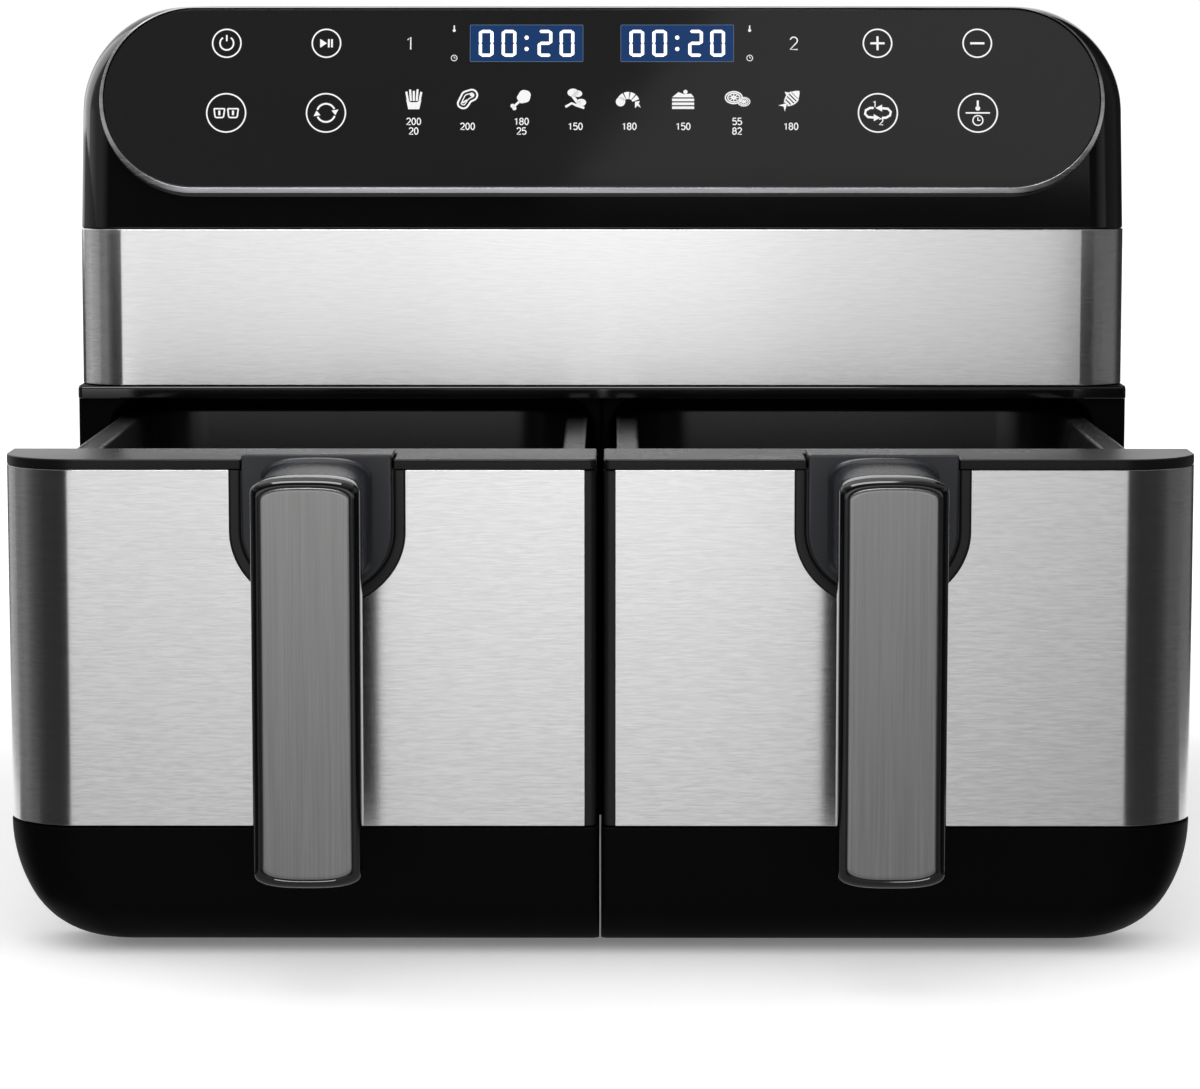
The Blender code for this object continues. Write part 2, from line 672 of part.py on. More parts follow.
def make_bezel(side, name, finish, parent):
    """Surround and plate that the handle's neck stands on, with a cap over the rim."""
    rear = DRAWER_FRONT + STEEL_SHEET
    edge = PLATE_INSET - 0.0004
    steps = [(GAP, SKIN_TOP, rear), (GAP, SKIN_TOP, rear - 0.0016), (edge, SKIN_TOP, rear - 0.0020),
             (PLATE_INSET, CAP_TOP, PLATE_FRONT)]
    rings = [at_height(bezel_outline(inset, top), "xz", y) for inset, top, y in steps]
    bezel = add_part(name, loft(rings), finish, parent.location, parent, side)
    half = BEZEL_HALF - PLATE_INSET - 0.0002
    lap = 0.0004
    shape_with(bezel, box((HANDLE_X - half, PLATE_FRONT + lap, SKIN_TOP + GAP),
                          (HANDLE_X + half, CAP_BACK, CAP_TOP - lap)), "UNION", side)


def bar_outline(inset, bottom=GRIP_Z[0], top=GRIP_Z[1], arch=GRIP_ARCH):
    """Upright bar whose ends are flat superellipse arches."""
    half = GRIP_HALF - inset
    rise = arch - inset * 0.3
    power = 2 / 2.8
    points = []
    for end, way in ((top - inset - rise, 1), (bottom + inset + rise, -1)):
        for k in range(13):
            angle = math.pi * k / 12 + (0 if way > 0 else math.pi)
            u = math.copysign(abs(math.cos(angle)) ** power, math.cos(angle))
            v = abs(math.sin(angle)) ** power
            points.append(Vector((HANDLE_X + half * u, end + way * rise * v)))
    return points


def make_grip(side, name, finish, parent):
    """Handle bar with a shallow pocket for its insert, and the neck behind it."""
    pocket = 0.00275
    steps = [(0.0015, GRIP_REAR), (0.0, GRIP_REAR - 0.0035), (0.0, GRIP_FRONT + 0.0027),
             (0.0006, GRIP_FRONT + 0.0008), (0.0016, GRIP_FRONT), (pocket, GRIP_FRONT),
             (pocket, GRIP_FRONT + 0.0010)]
    grip = add_part(name, loft([at_height(bar_outline(i), "xz", y) for i, y in steps]), finish,
                    parent.location, parent, side)
    neck = [(-0.0008, PLATE_FRONT - GAP), (0.0004, PLATE_FRONT - 0.014), (0.0008, GRIP_REAR - 0.0040)]
    rings = [at_height(bar_outline(i, NECK_BOTTOM, GRIP_Z[1] + 0.0005, 0.0075), "xz", y) for i, y in neck]
    shape_with(grip, loft(rings), "UNION", side)


def make_insert(side, name, finish, parent):
    """Satin steel strip in the handle's pocket."""
    edge = 0.00305
    base = GRIP_FRONT + 0.0007
    steps = [(edge, base), (edge, GRIP_FRONT + 0.0002), (edge + 0.0006, GRIP_FRONT - 0.0001)]
    add_part(name, loft([at_height(bar_outline(i), "xz", y) for i, y in steps]), finish,
             parent.location, parent, side)


def basket_ring(inset, z):
    """Plan outline of the basket, set in from its rim's outer edge."""
    low = (BASKET_X[0] + inset, BASKET_Y[0] + inset)
    high = (BASKET_X[1] - inset, BASKET_Y[1] - inset)
    return at_height(rectangle(low, high, BASKET_CORNER - inset * 0.5, 4), "xy", z)


def make_basket(side, name, finish, parent):
    """Tapered tub with a flat rim."""
    floor = BASKET_FLOOR
    steps = [(0.0220, floor), (0.0155, floor + 0.0020), (0.0135, floor + 0.0080),
             (0.0070, BASKET_TOP - 0.0020), (0.0, BASKET_TOP - 0.0020), (0.0, BASKET_TOP),
             (0.0080, BASKET_TOP), (0.0145, floor + 0.0083), (0.0163, floor + 0.0029),
             (0.0222, floor + SHEET)]
    add_part(name, loft([basket_ring(*step) for step in steps]), finish, parent.location, parent, side)


def make_drawer(side, prefix, finishes):
    """One drawer: front, handle and basket, all carried by the slide's empty."""
    spot = Vector((side * SIDE_X, DRAWER_BACK, 0.090))
    axis = axis_empty(prefix + "_drawer_slide", spot)
    make_core(side, prefix + "_drawer_core", finishes["matte_black"], axis)
    make_skin(side, prefix + "_drawer_skin", finishes["brushed_steel"], axis)
    make_top_rim(side, prefix + "_drawer_rim", finishes["satin_rim"], axis)
    make_lower_cover(side, prefix + "_drawer_lower_cover", finishes["matte_black"], axis)
    make_bezel(side, prefix + "_handle_bezel", finishes["bezel_navy"], axis)
    make_grip(side, prefix + "_handle_grip", finishes["gloss_black"], axis)
    make_insert(side, prefix + "_handle_insert", finishes["handle_steel"], axis)
    make_basket(side, prefix + "_basket", finishes["nonstick"], axis)


def make_tray(side, prefix, finishes):
    """Slotted crisper tray with four silicone bumpers, on the lift's empty."""
    inset = TRAY_INSET
    low = (BASKET_X[0] + inset, BASKET_Y[0] + inset)
    high = (BASKET_X[1] - inset, BASKET_Y[1] - inset)
    middle_y = (low[1] + high[1]) / 2
    spot = Vector((side * SIDE_X, middle_y, TRAY_Z[0]))
    axis = axis_empty(prefix + "_tray_lift", spot)
    tray = add_part(prefix + "_crisper_tray", prism(rectangle(low, high, 0.016, 4), "xy", *TRAY_Z),
                    finishes["nonstick"], spot, axis, side)
    slot_half = (0.016, 0.004)
    past = 0.002
    slots = []
    for column in range(3):
        for row in range(7):
            x = SIDE_X + 0.044 * (column - 1)
            y = middle_y + 0.025 * (row - 3)
            slots.append(box((x - slot_half[0], y - slot_half[1], TRAY_Z[0] - past),
                             (x + slot_half[0], y + slot_half[1], TRAY_Z[1] + past)))
    shape_with(tray, together(slots), side=side)
    thick = 0.0024
    for place_x, word_x in ((low[0] - GAP - thick, "inner"), (high[0] + GAP, "outer")):
        for y, word_y in ((middle_y - 0.062, "front"), (middle_y + 0.062, "rear")):
            shape = rectangle((place_x, y - 0.011), (place_x + thick, y + 0.011), 0.0010, 2)
            skin = prism(shape, "xy", *BUMPER_Z)
            name = prefix + "_bumper_" + word_y + "_" + word_x
            add_part(name, skin, finishes["silicone"], (side * place_x, y, TRAY_Z[0]), axis, side)


def main():
    for old in list(bpy.data.objects):
        bpy.data.objects.remove(old, do_unlink=True)
    finishes = make_materials()
    make_lower_housing(finishes["matte_black"])
    make_front_frame(finishes["matte_black"])
    make_band_lip(finishes["gloss_black"])
    make_steel_band(finishes["brushed_steel"])
    make_top_cover(finishes["gloss_black"])
    make_rear_cover(finishes["matte_black"])
    make_feet(finishes["rubber"])
    make_cord_gland(finishes["matte_black"])
    make_panel(finishes)
    make_motor_deck(finishes["liner_steel"])
    make_power_board(finishes["board_green"])
    for side, prefix in ((-1, "left"), (1, "right")):
        make_liner(side, prefix + "_liner", finishes["liner_steel"])
        make_heater(side, prefix + "_heater", finishes["heater_metal"])
        make_heater_guard(side, prefix + "_heater_guard", finishes["liner_steel"])
        make_motor(side, prefix + "_motor", finishes["motor_metal"])
        make_switch(side, prefix + "_interlock_switch", finishes["matte_black"])
        make_fan(side, prefix, finishes)
        make_plunger(side, prefix, finishes["silicone"])
        make_drawer(side, prefix, finishes)
        make_tray(side, prefix, finishes)


main()
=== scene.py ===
import math

import bmesh
import bpy
import numpy as np
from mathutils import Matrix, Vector


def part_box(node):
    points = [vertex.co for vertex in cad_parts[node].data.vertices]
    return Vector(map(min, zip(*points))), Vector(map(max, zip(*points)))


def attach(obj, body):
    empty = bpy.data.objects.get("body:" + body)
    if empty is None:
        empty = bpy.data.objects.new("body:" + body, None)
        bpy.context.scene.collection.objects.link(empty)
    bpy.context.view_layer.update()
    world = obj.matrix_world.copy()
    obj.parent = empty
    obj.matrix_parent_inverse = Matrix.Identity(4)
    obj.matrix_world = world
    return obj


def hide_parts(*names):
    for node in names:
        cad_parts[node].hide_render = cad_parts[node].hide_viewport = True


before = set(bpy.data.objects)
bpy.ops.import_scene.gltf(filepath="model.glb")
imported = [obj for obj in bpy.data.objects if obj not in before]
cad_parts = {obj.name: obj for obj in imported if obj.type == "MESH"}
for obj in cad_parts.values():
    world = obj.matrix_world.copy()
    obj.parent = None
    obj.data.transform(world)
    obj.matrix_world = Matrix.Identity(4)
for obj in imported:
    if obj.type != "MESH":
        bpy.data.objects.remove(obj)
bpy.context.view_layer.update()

sides = {"left": -1, "right": 1}
air = 0.0003  # gap between neighbouring pieces, as in the frame


# shapes worked out as arrays

# rounded outline: each (u, v, radius) corner is an arc tangent to both of its sides
def bend(corners, steps=8):
    spots = np.array([c[:2] for c in corners], float)
    parts = []
    for i, corner in enumerate(corners):
        here, radius = spots[i], corner[2]
        if radius <= 0:
            parts.append(here[None])
            continue
        back = spots[i - 1] - here
        ahead = spots[(i + 1) % len(spots)] - here
        back = back / np.linalg.norm(back)
        ahead = ahead / np.linalg.norm(ahead)
        half = math.acos(float(np.clip(back @ ahead, -1, 1))) / 2
        middle = (back + ahead) / np.linalg.norm(back + ahead)
        centre = here + middle * radius / math.sin(half)
        start = here + back * radius / math.tan(half) - centre
        end = here + ahead * radius / math.tan(half) - centre
        first = math.atan2(start[1], start[0])
        turn = (math.atan2(end[1], end[0]) - first + math.pi) % math.tau - math.pi
        angle = first + turn * np.linspace(0, 1, steps + 1)
        parts.append(centre + radius * np.stack([np.cos(angle), np.sin(angle)], 1))
    return np.concatenate(parts)


# outline drawn in: each side moves inwards by inset, round corners tighten, hollow corners widen
def drawnIn(corners, inset):
    spots = np.array([c[:2] for c in corners], float)
    nextSpots = np.roll(spots, -1, axis=0)
    area = np.sum(spots[:, 0] * nextSpots[:, 1] - spots[:, 1] * nextSpots[:, 0])
    way = (nextSpots - spots) / np.linalg.norm(nextSpots - spots, axis=1)[:, None]
    inward = np.stack([-way[:, 1], way[:, 0]], 1) * (1 if area > 0 else -1)
    before = np.roll(inward, 1, axis=0)
    shift = (inward + before) / (1 + np.sum(inward * before, 1))[:, None]
    wayBefore = np.roll(way, 1, axis=0)
    cross = (wayBefore[:, 0] * way[:, 1] - wayBefore[:, 1] * way[:, 0]) * (1 if area > 0 else -1)
    shifted = spots + shift * inset
    out = []
    for i, corner in enumerate(corners):
        radius = corner[2]
        if radius > 0:
            radius = max(radius - inset if cross[i] > 0 else radius + inset, 0.00002)
        out.append((*shifted[i], radius))
    return out


# outline as a function of its inset
def shapeOf(corners, steps=8):
    return lambda inset: bend(drawnIn(corners, inset), steps)


# rectangle with four equal corners
def block(u0, v0, u1, v1, radius):
    return [(u0, v0, radius), (u1, v0, radius), (u1, v1, radius), (u0, v1, radius)]


# flat outline set in space at a height along the plane's third axis
def atHeight(points, plane, height):
    third = np.full(len(points), float(height))
    order = {"xy": (points[:, 0], points[:, 1], third), "xz": (points[:, 0], third, points[:, 1]),
             "yz": (third, points[:, 0], points[:, 1])}
    return np.stack(order[plane], 1)


# rings of an outline, one for each (inset, height) step
def ringsAt(outlineAt, plane, steps):
    return [atHeight(outlineAt(inset), plane, height) for inset, height in steps]


# skin over equal rings: quads between neighbours, flat ends, or a loop back to the first ring
def ringSkin(rings, loop=False):
    rings = np.asarray(rings, float)
    levels, count = rings.shape[:2]
    index = np.arange(levels * count).reshape(levels, count)
    low = index if loop else index[:-1]
    high = np.roll(index, -1, axis=0) if loop else index[1:]
    quads = np.stack([low, np.roll(low, -1, 1), np.roll(high, -1, 1), high], -1).reshape(-1, 4)
    faces = quads.tolist()
    if not loop:
        faces += [index[0].tolist(), index[-1].tolist()]
    return rings.reshape(-1, 3), faces


# straight push of an outline, both of its ends rounded off by quarter circles
def softPrism(outlineAt, plane, low, high, edgeLow, edgeHigh, steps=4):
    turn = np.linspace(0, math.pi / 2, steps + 1)
    below = turn if edgeLow else [math.pi / 2]
    above = turn[::-1] if edgeHigh else [math.pi / 2]
    rounded = [(edgeLow * (1 - math.sin(t)), low + edgeLow * (1 - math.cos(t))) for t in below]
    rounded += [(edgeHigh * (1 - math.sin(t)), high - edgeHigh * (1 - math.cos(t))) for t in above]
    return ringSkin(ringsAt(outlineAt, plane, rounded))


# box between two corners, its outline rounded by radius and its two ends by edge
def softBox(low, high, radius, edge, plane="xy", steps=3):
    a, b, c = {"xy": (0, 1, 2), "xz": (0, 2, 1), "yz": (1, 2, 0)}[plane]
    outline = shapeOf(block(low[a], low[b], high[a], high[b], radius), 5)
    return softPrism(outline, plane, low[c], high[c], edge, edge, steps)


# turned piece: circles of (radius, height) round an axis square to the plane
def turned(profile, plane, centre, count=48, loop=False):
    angle = np.linspace(0, math.tau, count, endpoint=False)
    circle = np.stack([np.cos(angle), np.sin(angle)], 1)
    return ringSkin(ringsAt(lambda radius: circle * radius + np.array(centre), plane, profile), loop)


# profile of (outward, height) points carried along a flat path by the path's own normals
def carried(path, profile, loop=False, plane="xy"):
    if loop:
        ahead = np.roll(path, -1, axis=0) - np.roll(path, 1, axis=0)
    else:
        ahead = np.gradient(path, axis=0)
    ahead = ahead / np.linalg.norm(ahead, axis=1)[:, None]
    out = np.stack([ahead[:, 1], -ahead[:, 0]], 1)
    profile = np.asarray(profile, float)
    spots = path[:, None, :] + out[:, None, :] * profile[None, :, :1]
    heights = np.broadcast_to(profile[None, :, 1:], (len(path), len(profile), 1))
    flat = np.concatenate([spots, heights], 2)
    return ringSkin(flat if plane == "xy" else flat[..., [0, 2, 1]], loop)


# thin strip of a sheet: a rounded slim rectangle standing on its short side, as (outward, height)
def sheetProfile(thick, low, high, edge):
    return bend(block(-thick, low, 0.0, high, edge), 3)


# several skins as one
def joined(skins):
    verts, faces, start = [], [], 0
    for points, theirs in skins:
        verts.append(points)
        faces += [[start + k for k in face] for face in theirs]
        start += len(points)
    return np.concatenate(verts), faces


# the skin as it is for the right side, turned over across the middle for the left
def mirrored(skin, side):
    return skin[0] * np.array([side, 1, 1]), skin[1]


# large faces keep their own direction, so that only the rounded edges between them shade round
def weighNormals(piece):
    change = piece.modifiers.new("weighted", "WEIGHTED_NORMAL")
    change.mode = "FACE_AREA"
    change.weight = 50
    change.keep_sharp = True


# small round on every edge over 38 degrees
def easeEdges(piece, width):
    change = piece.modifiers.new("ease", "BEVEL")
    change.width = width
    change.segments = 2
    change.limit_method = "ANGLE"
    change.angle_limit = math.radians(38)


# puts a mesh on its body, smooth but for edges over the given angle
def placePiece(mesh, finish, nodes, body, sharp, ease=0.0):
    mesh.shade_smooth()
    mesh.set_sharp_from_angle(angle=math.radians(sharp))
    mesh.materials.append(finishes[finish])
    piece = bpy.data.objects.new(mesh.name, mesh)
    bpy.context.collection.objects.link(piece)
    if ease:
        easeEdges(piece, ease)
    weighNormals(piece)
    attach(piece, body)
    if nodes:
        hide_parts(*nodes)


# one piece from its skin, faces turned outwards
def makePiece(name, skin, finish, nodes=(), body="housing", sharp=38):
    mesh = bpy.data.meshes.new(name)
    mesh.from_pydata(skin[0].tolist(), [], skin[1])
    edit = bmesh.new()
    edit.from_mesh(mesh)
    bmesh.ops.recalc_face_normals(edit, faces=edit.faces)
    edit.to_mesh(mesh)
    edit.free()
    placePiece(mesh, finish, nodes, body, sharp)


# copy of a frame node with its loose corners merged, flat faces joined and edges eased
def easedCopy(name, node, finish, ease, body="housing"):
    edit = bmesh.new()
    edit.from_mesh(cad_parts[node].data)
    bmesh.ops.remove_doubles(edit, verts=edit.verts, dist=0.00001)
    bmesh.ops.dissolve_limit(edit, angle_limit=math.radians(1), verts=edit.verts, edges=edit.edges)
    mesh = bpy.data.meshes.new(name)
    edit.to_mesh(mesh)
    edit.free()
    placePiece(mesh, finish, [node], body, 38, ease)


# finishes

# a socket given as an input is linked, anything else is set on the node
def feed(tree, node, inputs):
    for key, value in inputs.items():
        if isinstance(value, bpy.types.NodeSocket):
            tree.links.new(value, node.inputs[key])
        else:
            node.inputs[key].default_value = value
    return node


def put(tree, kind, inputs=None, **settings):
    node = tree.nodes.new("ShaderNode" + kind)
    for key, value in settings.items():
        setattr(node, key, value)
    return feed(tree, node, inputs or {})


# effect shared by finishes: fill draws its nodes and names the socket for each output
def effectGroup(name, inputs, outputs, fill):
    tree = bpy.data.node_groups.new(name, "ShaderNodeTree")
    for label, kind, value in inputs:
        socket = tree.interface.new_socket(name=label, in_out="INPUT", socket_type="NodeSocket" + kind)
        if value is not None:
            socket.default_value = value
    for label, kind in outputs:
        tree.interface.new_socket(name=label, in_out="OUTPUT", socket_type="NodeSocket" + kind)
    given = tree.nodes.new("NodeGroupInput").outputs
    result = tree.nodes.new("NodeGroupOutput").inputs
    for label, socket in fill(tree, given).items():
        tree.links.new(socket, result[label])
    return tree


# brushing: two noises drawn out along the grain, added into a tone and a height
def fillGrain(tree, given):
    spread = put(tree, "VectorMath", {0: given["Vector"], 1: given["Stretch"]}, operation="MULTIPLY")
    fine = put(tree, "TexNoise", {"Vector": spread.outputs[0], "Scale": 1.0, "Detail": 4.0,
                                  "Roughness": 0.7})
    wider = put(tree, "VectorMath", {0: spread.outputs[0], 1: (0.5, 0.5, 0.5)}, operation="MULTIPLY")
    coarse = put(tree, "TexNoise", {"Vector": wider.outputs[0], "Scale": 1.0, "Detail": 2.0})
    both = put(tree, "Math", {0: fine.outputs[0], 1: coarse.outputs[0]}, operation="ADD")
    tone = put(tree, "Math", {0: both.outputs[0], 1: 0.5}, operation="MULTIPLY")
    return {"Tone": tone.outputs[0], "Height": fine.outputs[0]}


# moulded plastic: very fine pebble for the height, and slow cloudy patches for the sheen
def fillMould(tree, given):
    pebble = put(tree, "TexNoise", {"Vector": given["Vector"], "Scale": given["Pebble"], "Detail": 3.0})
    cloud = put(tree, "TexNoise", {"Vector": given["Vector"], "Scale": 14.0, "Detail": 4.0,
                                   "Distortion": 0.6})
    sheen = put(tree, "MapRange", {"Value": cloud.outputs[0], "From Min": 0.3, "From Max": 0.7,
                                   "To Min": given["Low"], "To Max": given["High"]})
    return {"Height": pebble.outputs[0], "Sheen": sheen.outputs[0]}


# dust: sparse pale specks that lie where the surface looks up
def fillDust(tree, given):
    specks = put(tree, "TexNoise", {"Vector": given["Vector"], "Scale": 520.0, "Detail": 2.0})
    cut = put(tree, "MapRange", {"Value": specks.outputs[0], "From Min": 0.66, "From Max": 0.80})
    facing = put(tree, "NewGeometry")
    split = put(tree, "SeparateXYZ", {0: facing.outputs["Normal"]})
    up = put(tree, "MapRange", {"Value": split.outputs[2], "From Min": 0.3, "From Max": 1.0})
    both = put(tree, "Math", {0: cut.outputs[0], 1: up.outputs[0]}, operation="MULTIPLY")
    mask = put(tree, "Math", {0: both.outputs[0], 1: given["Amount"]}, operation="MULTIPLY")
    return {"Mask": mask.outputs[0]}


# speckle: small round cells, some lighter, as in a baked coating
def fillSpeckle(tree, given):
    cells = put(tree, "TexVoronoi", {"Vector": given["Vector"], "Scale": given["Scale"]})
    fleck = put(tree, "MapRange", {"Value": cells.outputs["Distance"], "From Min": 0.12,
                                   "From Max": 0.34, "To Min": 1.0, "To Max": 0.0})
    chance = put(tree, "SeparateColor", {0: cells.outputs["Color"]})
    rare = put(tree, "Math", {0: chance.outputs[0], 1: 0.62}, operation="GREATER_THAN")
    mask = put(tree, "Math", {0: fleck.outputs[0], 1: rare.outputs[0]}, operation="MULTIPLY")
    return {"Mask": mask.outputs[0], "Height": fleck.outputs[0]}


grainEffect = effectGroup("grainEffect", [("Vector", "Vector", None), ("Stretch", "Vector", (1, 1, 1))],
                          [("Tone", "Float"), ("Height", "Float")], fillGrain)
mouldEffect = effectGroup("mouldEffect", [("Vector", "Vector", None), ("Pebble", "Float", 1500.0),
                                          ("Low", "Float", 0.3), ("High", "Float", 0.4)],
                          [("Height", "Float"), ("Sheen", "Float")], fillMould)
dustEffect = effectGroup("dustEffect", [("Vector", "Vector", None), ("Amount", "Float", 0.1)],
                         [("Mask", "Float")], fillDust)
speckleEffect = effectGroup("speckleEffect", [("Vector", "Vector", None), ("Scale", "Float", 900.0)],
                            [("Mask", "Float"), ("Height", "Float")], fillSpeckle)


# a finish with its constant values, its tree, its shader and the object coordinates
def startFinish(name, roughness, metallic=0.0, constants=None):
    finish = bpy.data.materials.new(name)
    finish.use_nodes = True
    tree = finish.node_tree
    shader = feed(tree, tree.nodes["Principled BSDF"],
                  {"Roughness": roughness, "Metallic": metallic, **(constants or {})})
    return finish, tree, shader, put(tree, "TexCoord").outputs["Object"]


# colour from a mask, dark at the start of the span and light at its end
def blendColours(tree, mask, dark, light, span=(0.0, 1.0)):
    ramp = put(tree, "ValToRGB", {0: mask})
    for stop, colour, place in zip(ramp.color_ramp.elements, (dark, light), span):
        stop.color = (*colour, 1)
        stop.position = place
    return ramp.outputs[0]


def useEffect(tree, group, inputs):
    return feed(tree, put(tree, "Group", node_tree=group), inputs).outputs


def bumpOf(tree, shader, height, strength, distance):
    bump = put(tree, "Bump", {"Height": height, "Strength": strength, "Distance": distance})
    feed(tree, shader, {"Normal": bump.outputs[0]})


# brushed metal: grain sets the shade, the roughness and a very low relief
def brushedMetal(name, dark, light, stretch, rough, relief=0.05, constants=None):
    finish, tree, shader, place = startFinish(name, rough[0], 1.0, constants)
    grain = useEffect(tree, grainEffect, {"Vector": place, "Stretch": stretch})
    shade = blendColours(tree, grain["Tone"], dark, light, (0.38, 0.62))
    sheen = put(tree, "MapRange", {"Value": grain["Tone"], "From Min": 0.35, "From Max": 0.65,
                                   "To Min": rough[0], "To Max": rough[1]})
    feed(tree, shader, {"Base Color": shade, "Roughness": sheen.outputs[0]})
    bumpOf(tree, shader, grain["Height"], relief, 0.0001)
    return finish


# moulded plastic or rubber: pebble relief, cloudy sheen, a little dust on top faces
def moulded(name, colour, rough, pebble, relief, dust=0.05, specular=0.5):
    finish, tree, shader, place = startFinish(name, rough[0], 0.0, {"Specular IOR Level": specular})
    mould = useEffect(tree, mouldEffect, {"Vector": place, "Pebble": pebble,
                                          "Low": rough[0], "High": rough[1]})
    specks = useEffect(tree, dustEffect, {"Vector": place, "Amount": dust})
    shade = blendColours(tree, specks["Mask"], colour, [min(c + 0.25, 1.0) for c in colour])
    feed(tree, shader, {"Base Color": shade, "Roughness": mould["Sheen"]})
    bumpOf(tree, shader, mould["Height"], relief, 0.0001)
    return finish


# baked coating: dark base, pale flecks, slight orange peel
def coated(name, dark, fleck, rough, scale):
    finish, tree, shader, place = startFinish(name, rough[0], 0.0, {"Specular IOR Level": 0.6})
    spots = useEffect(tree, speckleEffect, {"Vector": place, "Scale": scale})
    mould = useEffect(tree, mouldEffect, {"Vector": place, "Pebble": 420.0,
                                          "Low": rough[0], "High": rough[1]})
    shade = blendColours(tree, spots["Mask"], dark, fleck)
    feed(tree, shader, {"Base Color": shade, "Roughness": mould["Sheen"]})
    bumpOf(tree, shader, mould["Height"], 0.06, 0.0002)
    return finish


# polished touch glass: black, with faint wipe marks that change the gloss
def touchGlass():
    finish, tree, shader, place = startFinish("touchGlass", 0.05)
    wipes = useEffect(tree, grainEffect, {"Vector": place, "Stretch": (14.0, 14.0, 60.0)})
    gloss = put(tree, "MapRange", {"Value": wipes["Tone"], "From Min": 0.4, "From Max": 0.6,
                                   "To Min": 0.045, "To Max": 0.075})
    shade = blendColours(tree, wipes["Tone"], (0.0135, 0.0135, 0.0138), (0.0155, 0.0155, 0.0158))
    feed(tree, shader, {"Base Color": shade, "Roughness": gloss.outputs[0]})
    return finish


# lit display: blue field with the faint rows and columns of its cells
def displayField():
    finish, tree, shader, place = startFinish("displayField", 0.22, 0.0, {"Emission Strength": 0.55})
    rows, columns = [put(tree, "TexWave", {"Vector": place, "Scale": 900.0}, bands_direction=axis)
                     for axis in ("Z", "X")]
    cells = put(tree, "Math", {0: rows.outputs[1], 1: columns.outputs[1]}, operation="MULTIPLY")
    shade = blendColours(tree, cells.outputs[0], (0.0015, 0.022, 0.090), (0.0022, 0.030, 0.112))
    feed(tree, shader, {"Base Color": shade, "Emission Color": shade})
    return finish


# printed or lit marks, a little uneven in tone
def litMarks(name, glow, dark=(0.80, 0.81, 0.82), light=(0.92, 0.92, 0.92)):
    finish, tree, shader, place = startFinish(name, 0.45, 0.0, {"Emission Strength": glow})
    mould = useEffect(tree, mouldEffect, {"Vector": place, "Pebble": 2600.0, "Low": 0.4, "High": 0.5})
    shade = blendColours(tree, mould["Height"], dark, light)
    feed(tree, shader, {"Base Color": shade, "Emission Color": shade, "Roughness": mould["Sheen"]})
    return finish


# circuit board: green mask over a lattice of tracks
def boardMask():
    finish, tree, shader, place = startFinish("boardMask", 0.4)
    cells = put(tree, "TexVoronoi", {"Vector": place, "Scale": 260.0}, distance="MANHATTAN",
                feature="F2")
    track = put(tree, "MapRange", {"Value": cells.outputs["Distance"], "From Min": 0.62,
                                   "From Max": 0.70})
    shade = blendColours(tree, track.outputs[0], (0.012, 0.090, 0.035), (0.05, 0.22, 0.07))
    feed(tree, shader, {"Base Color": shade})
    bumpOf(tree, shader, track.outputs[0], 0.2, 0.0001)
    return finish


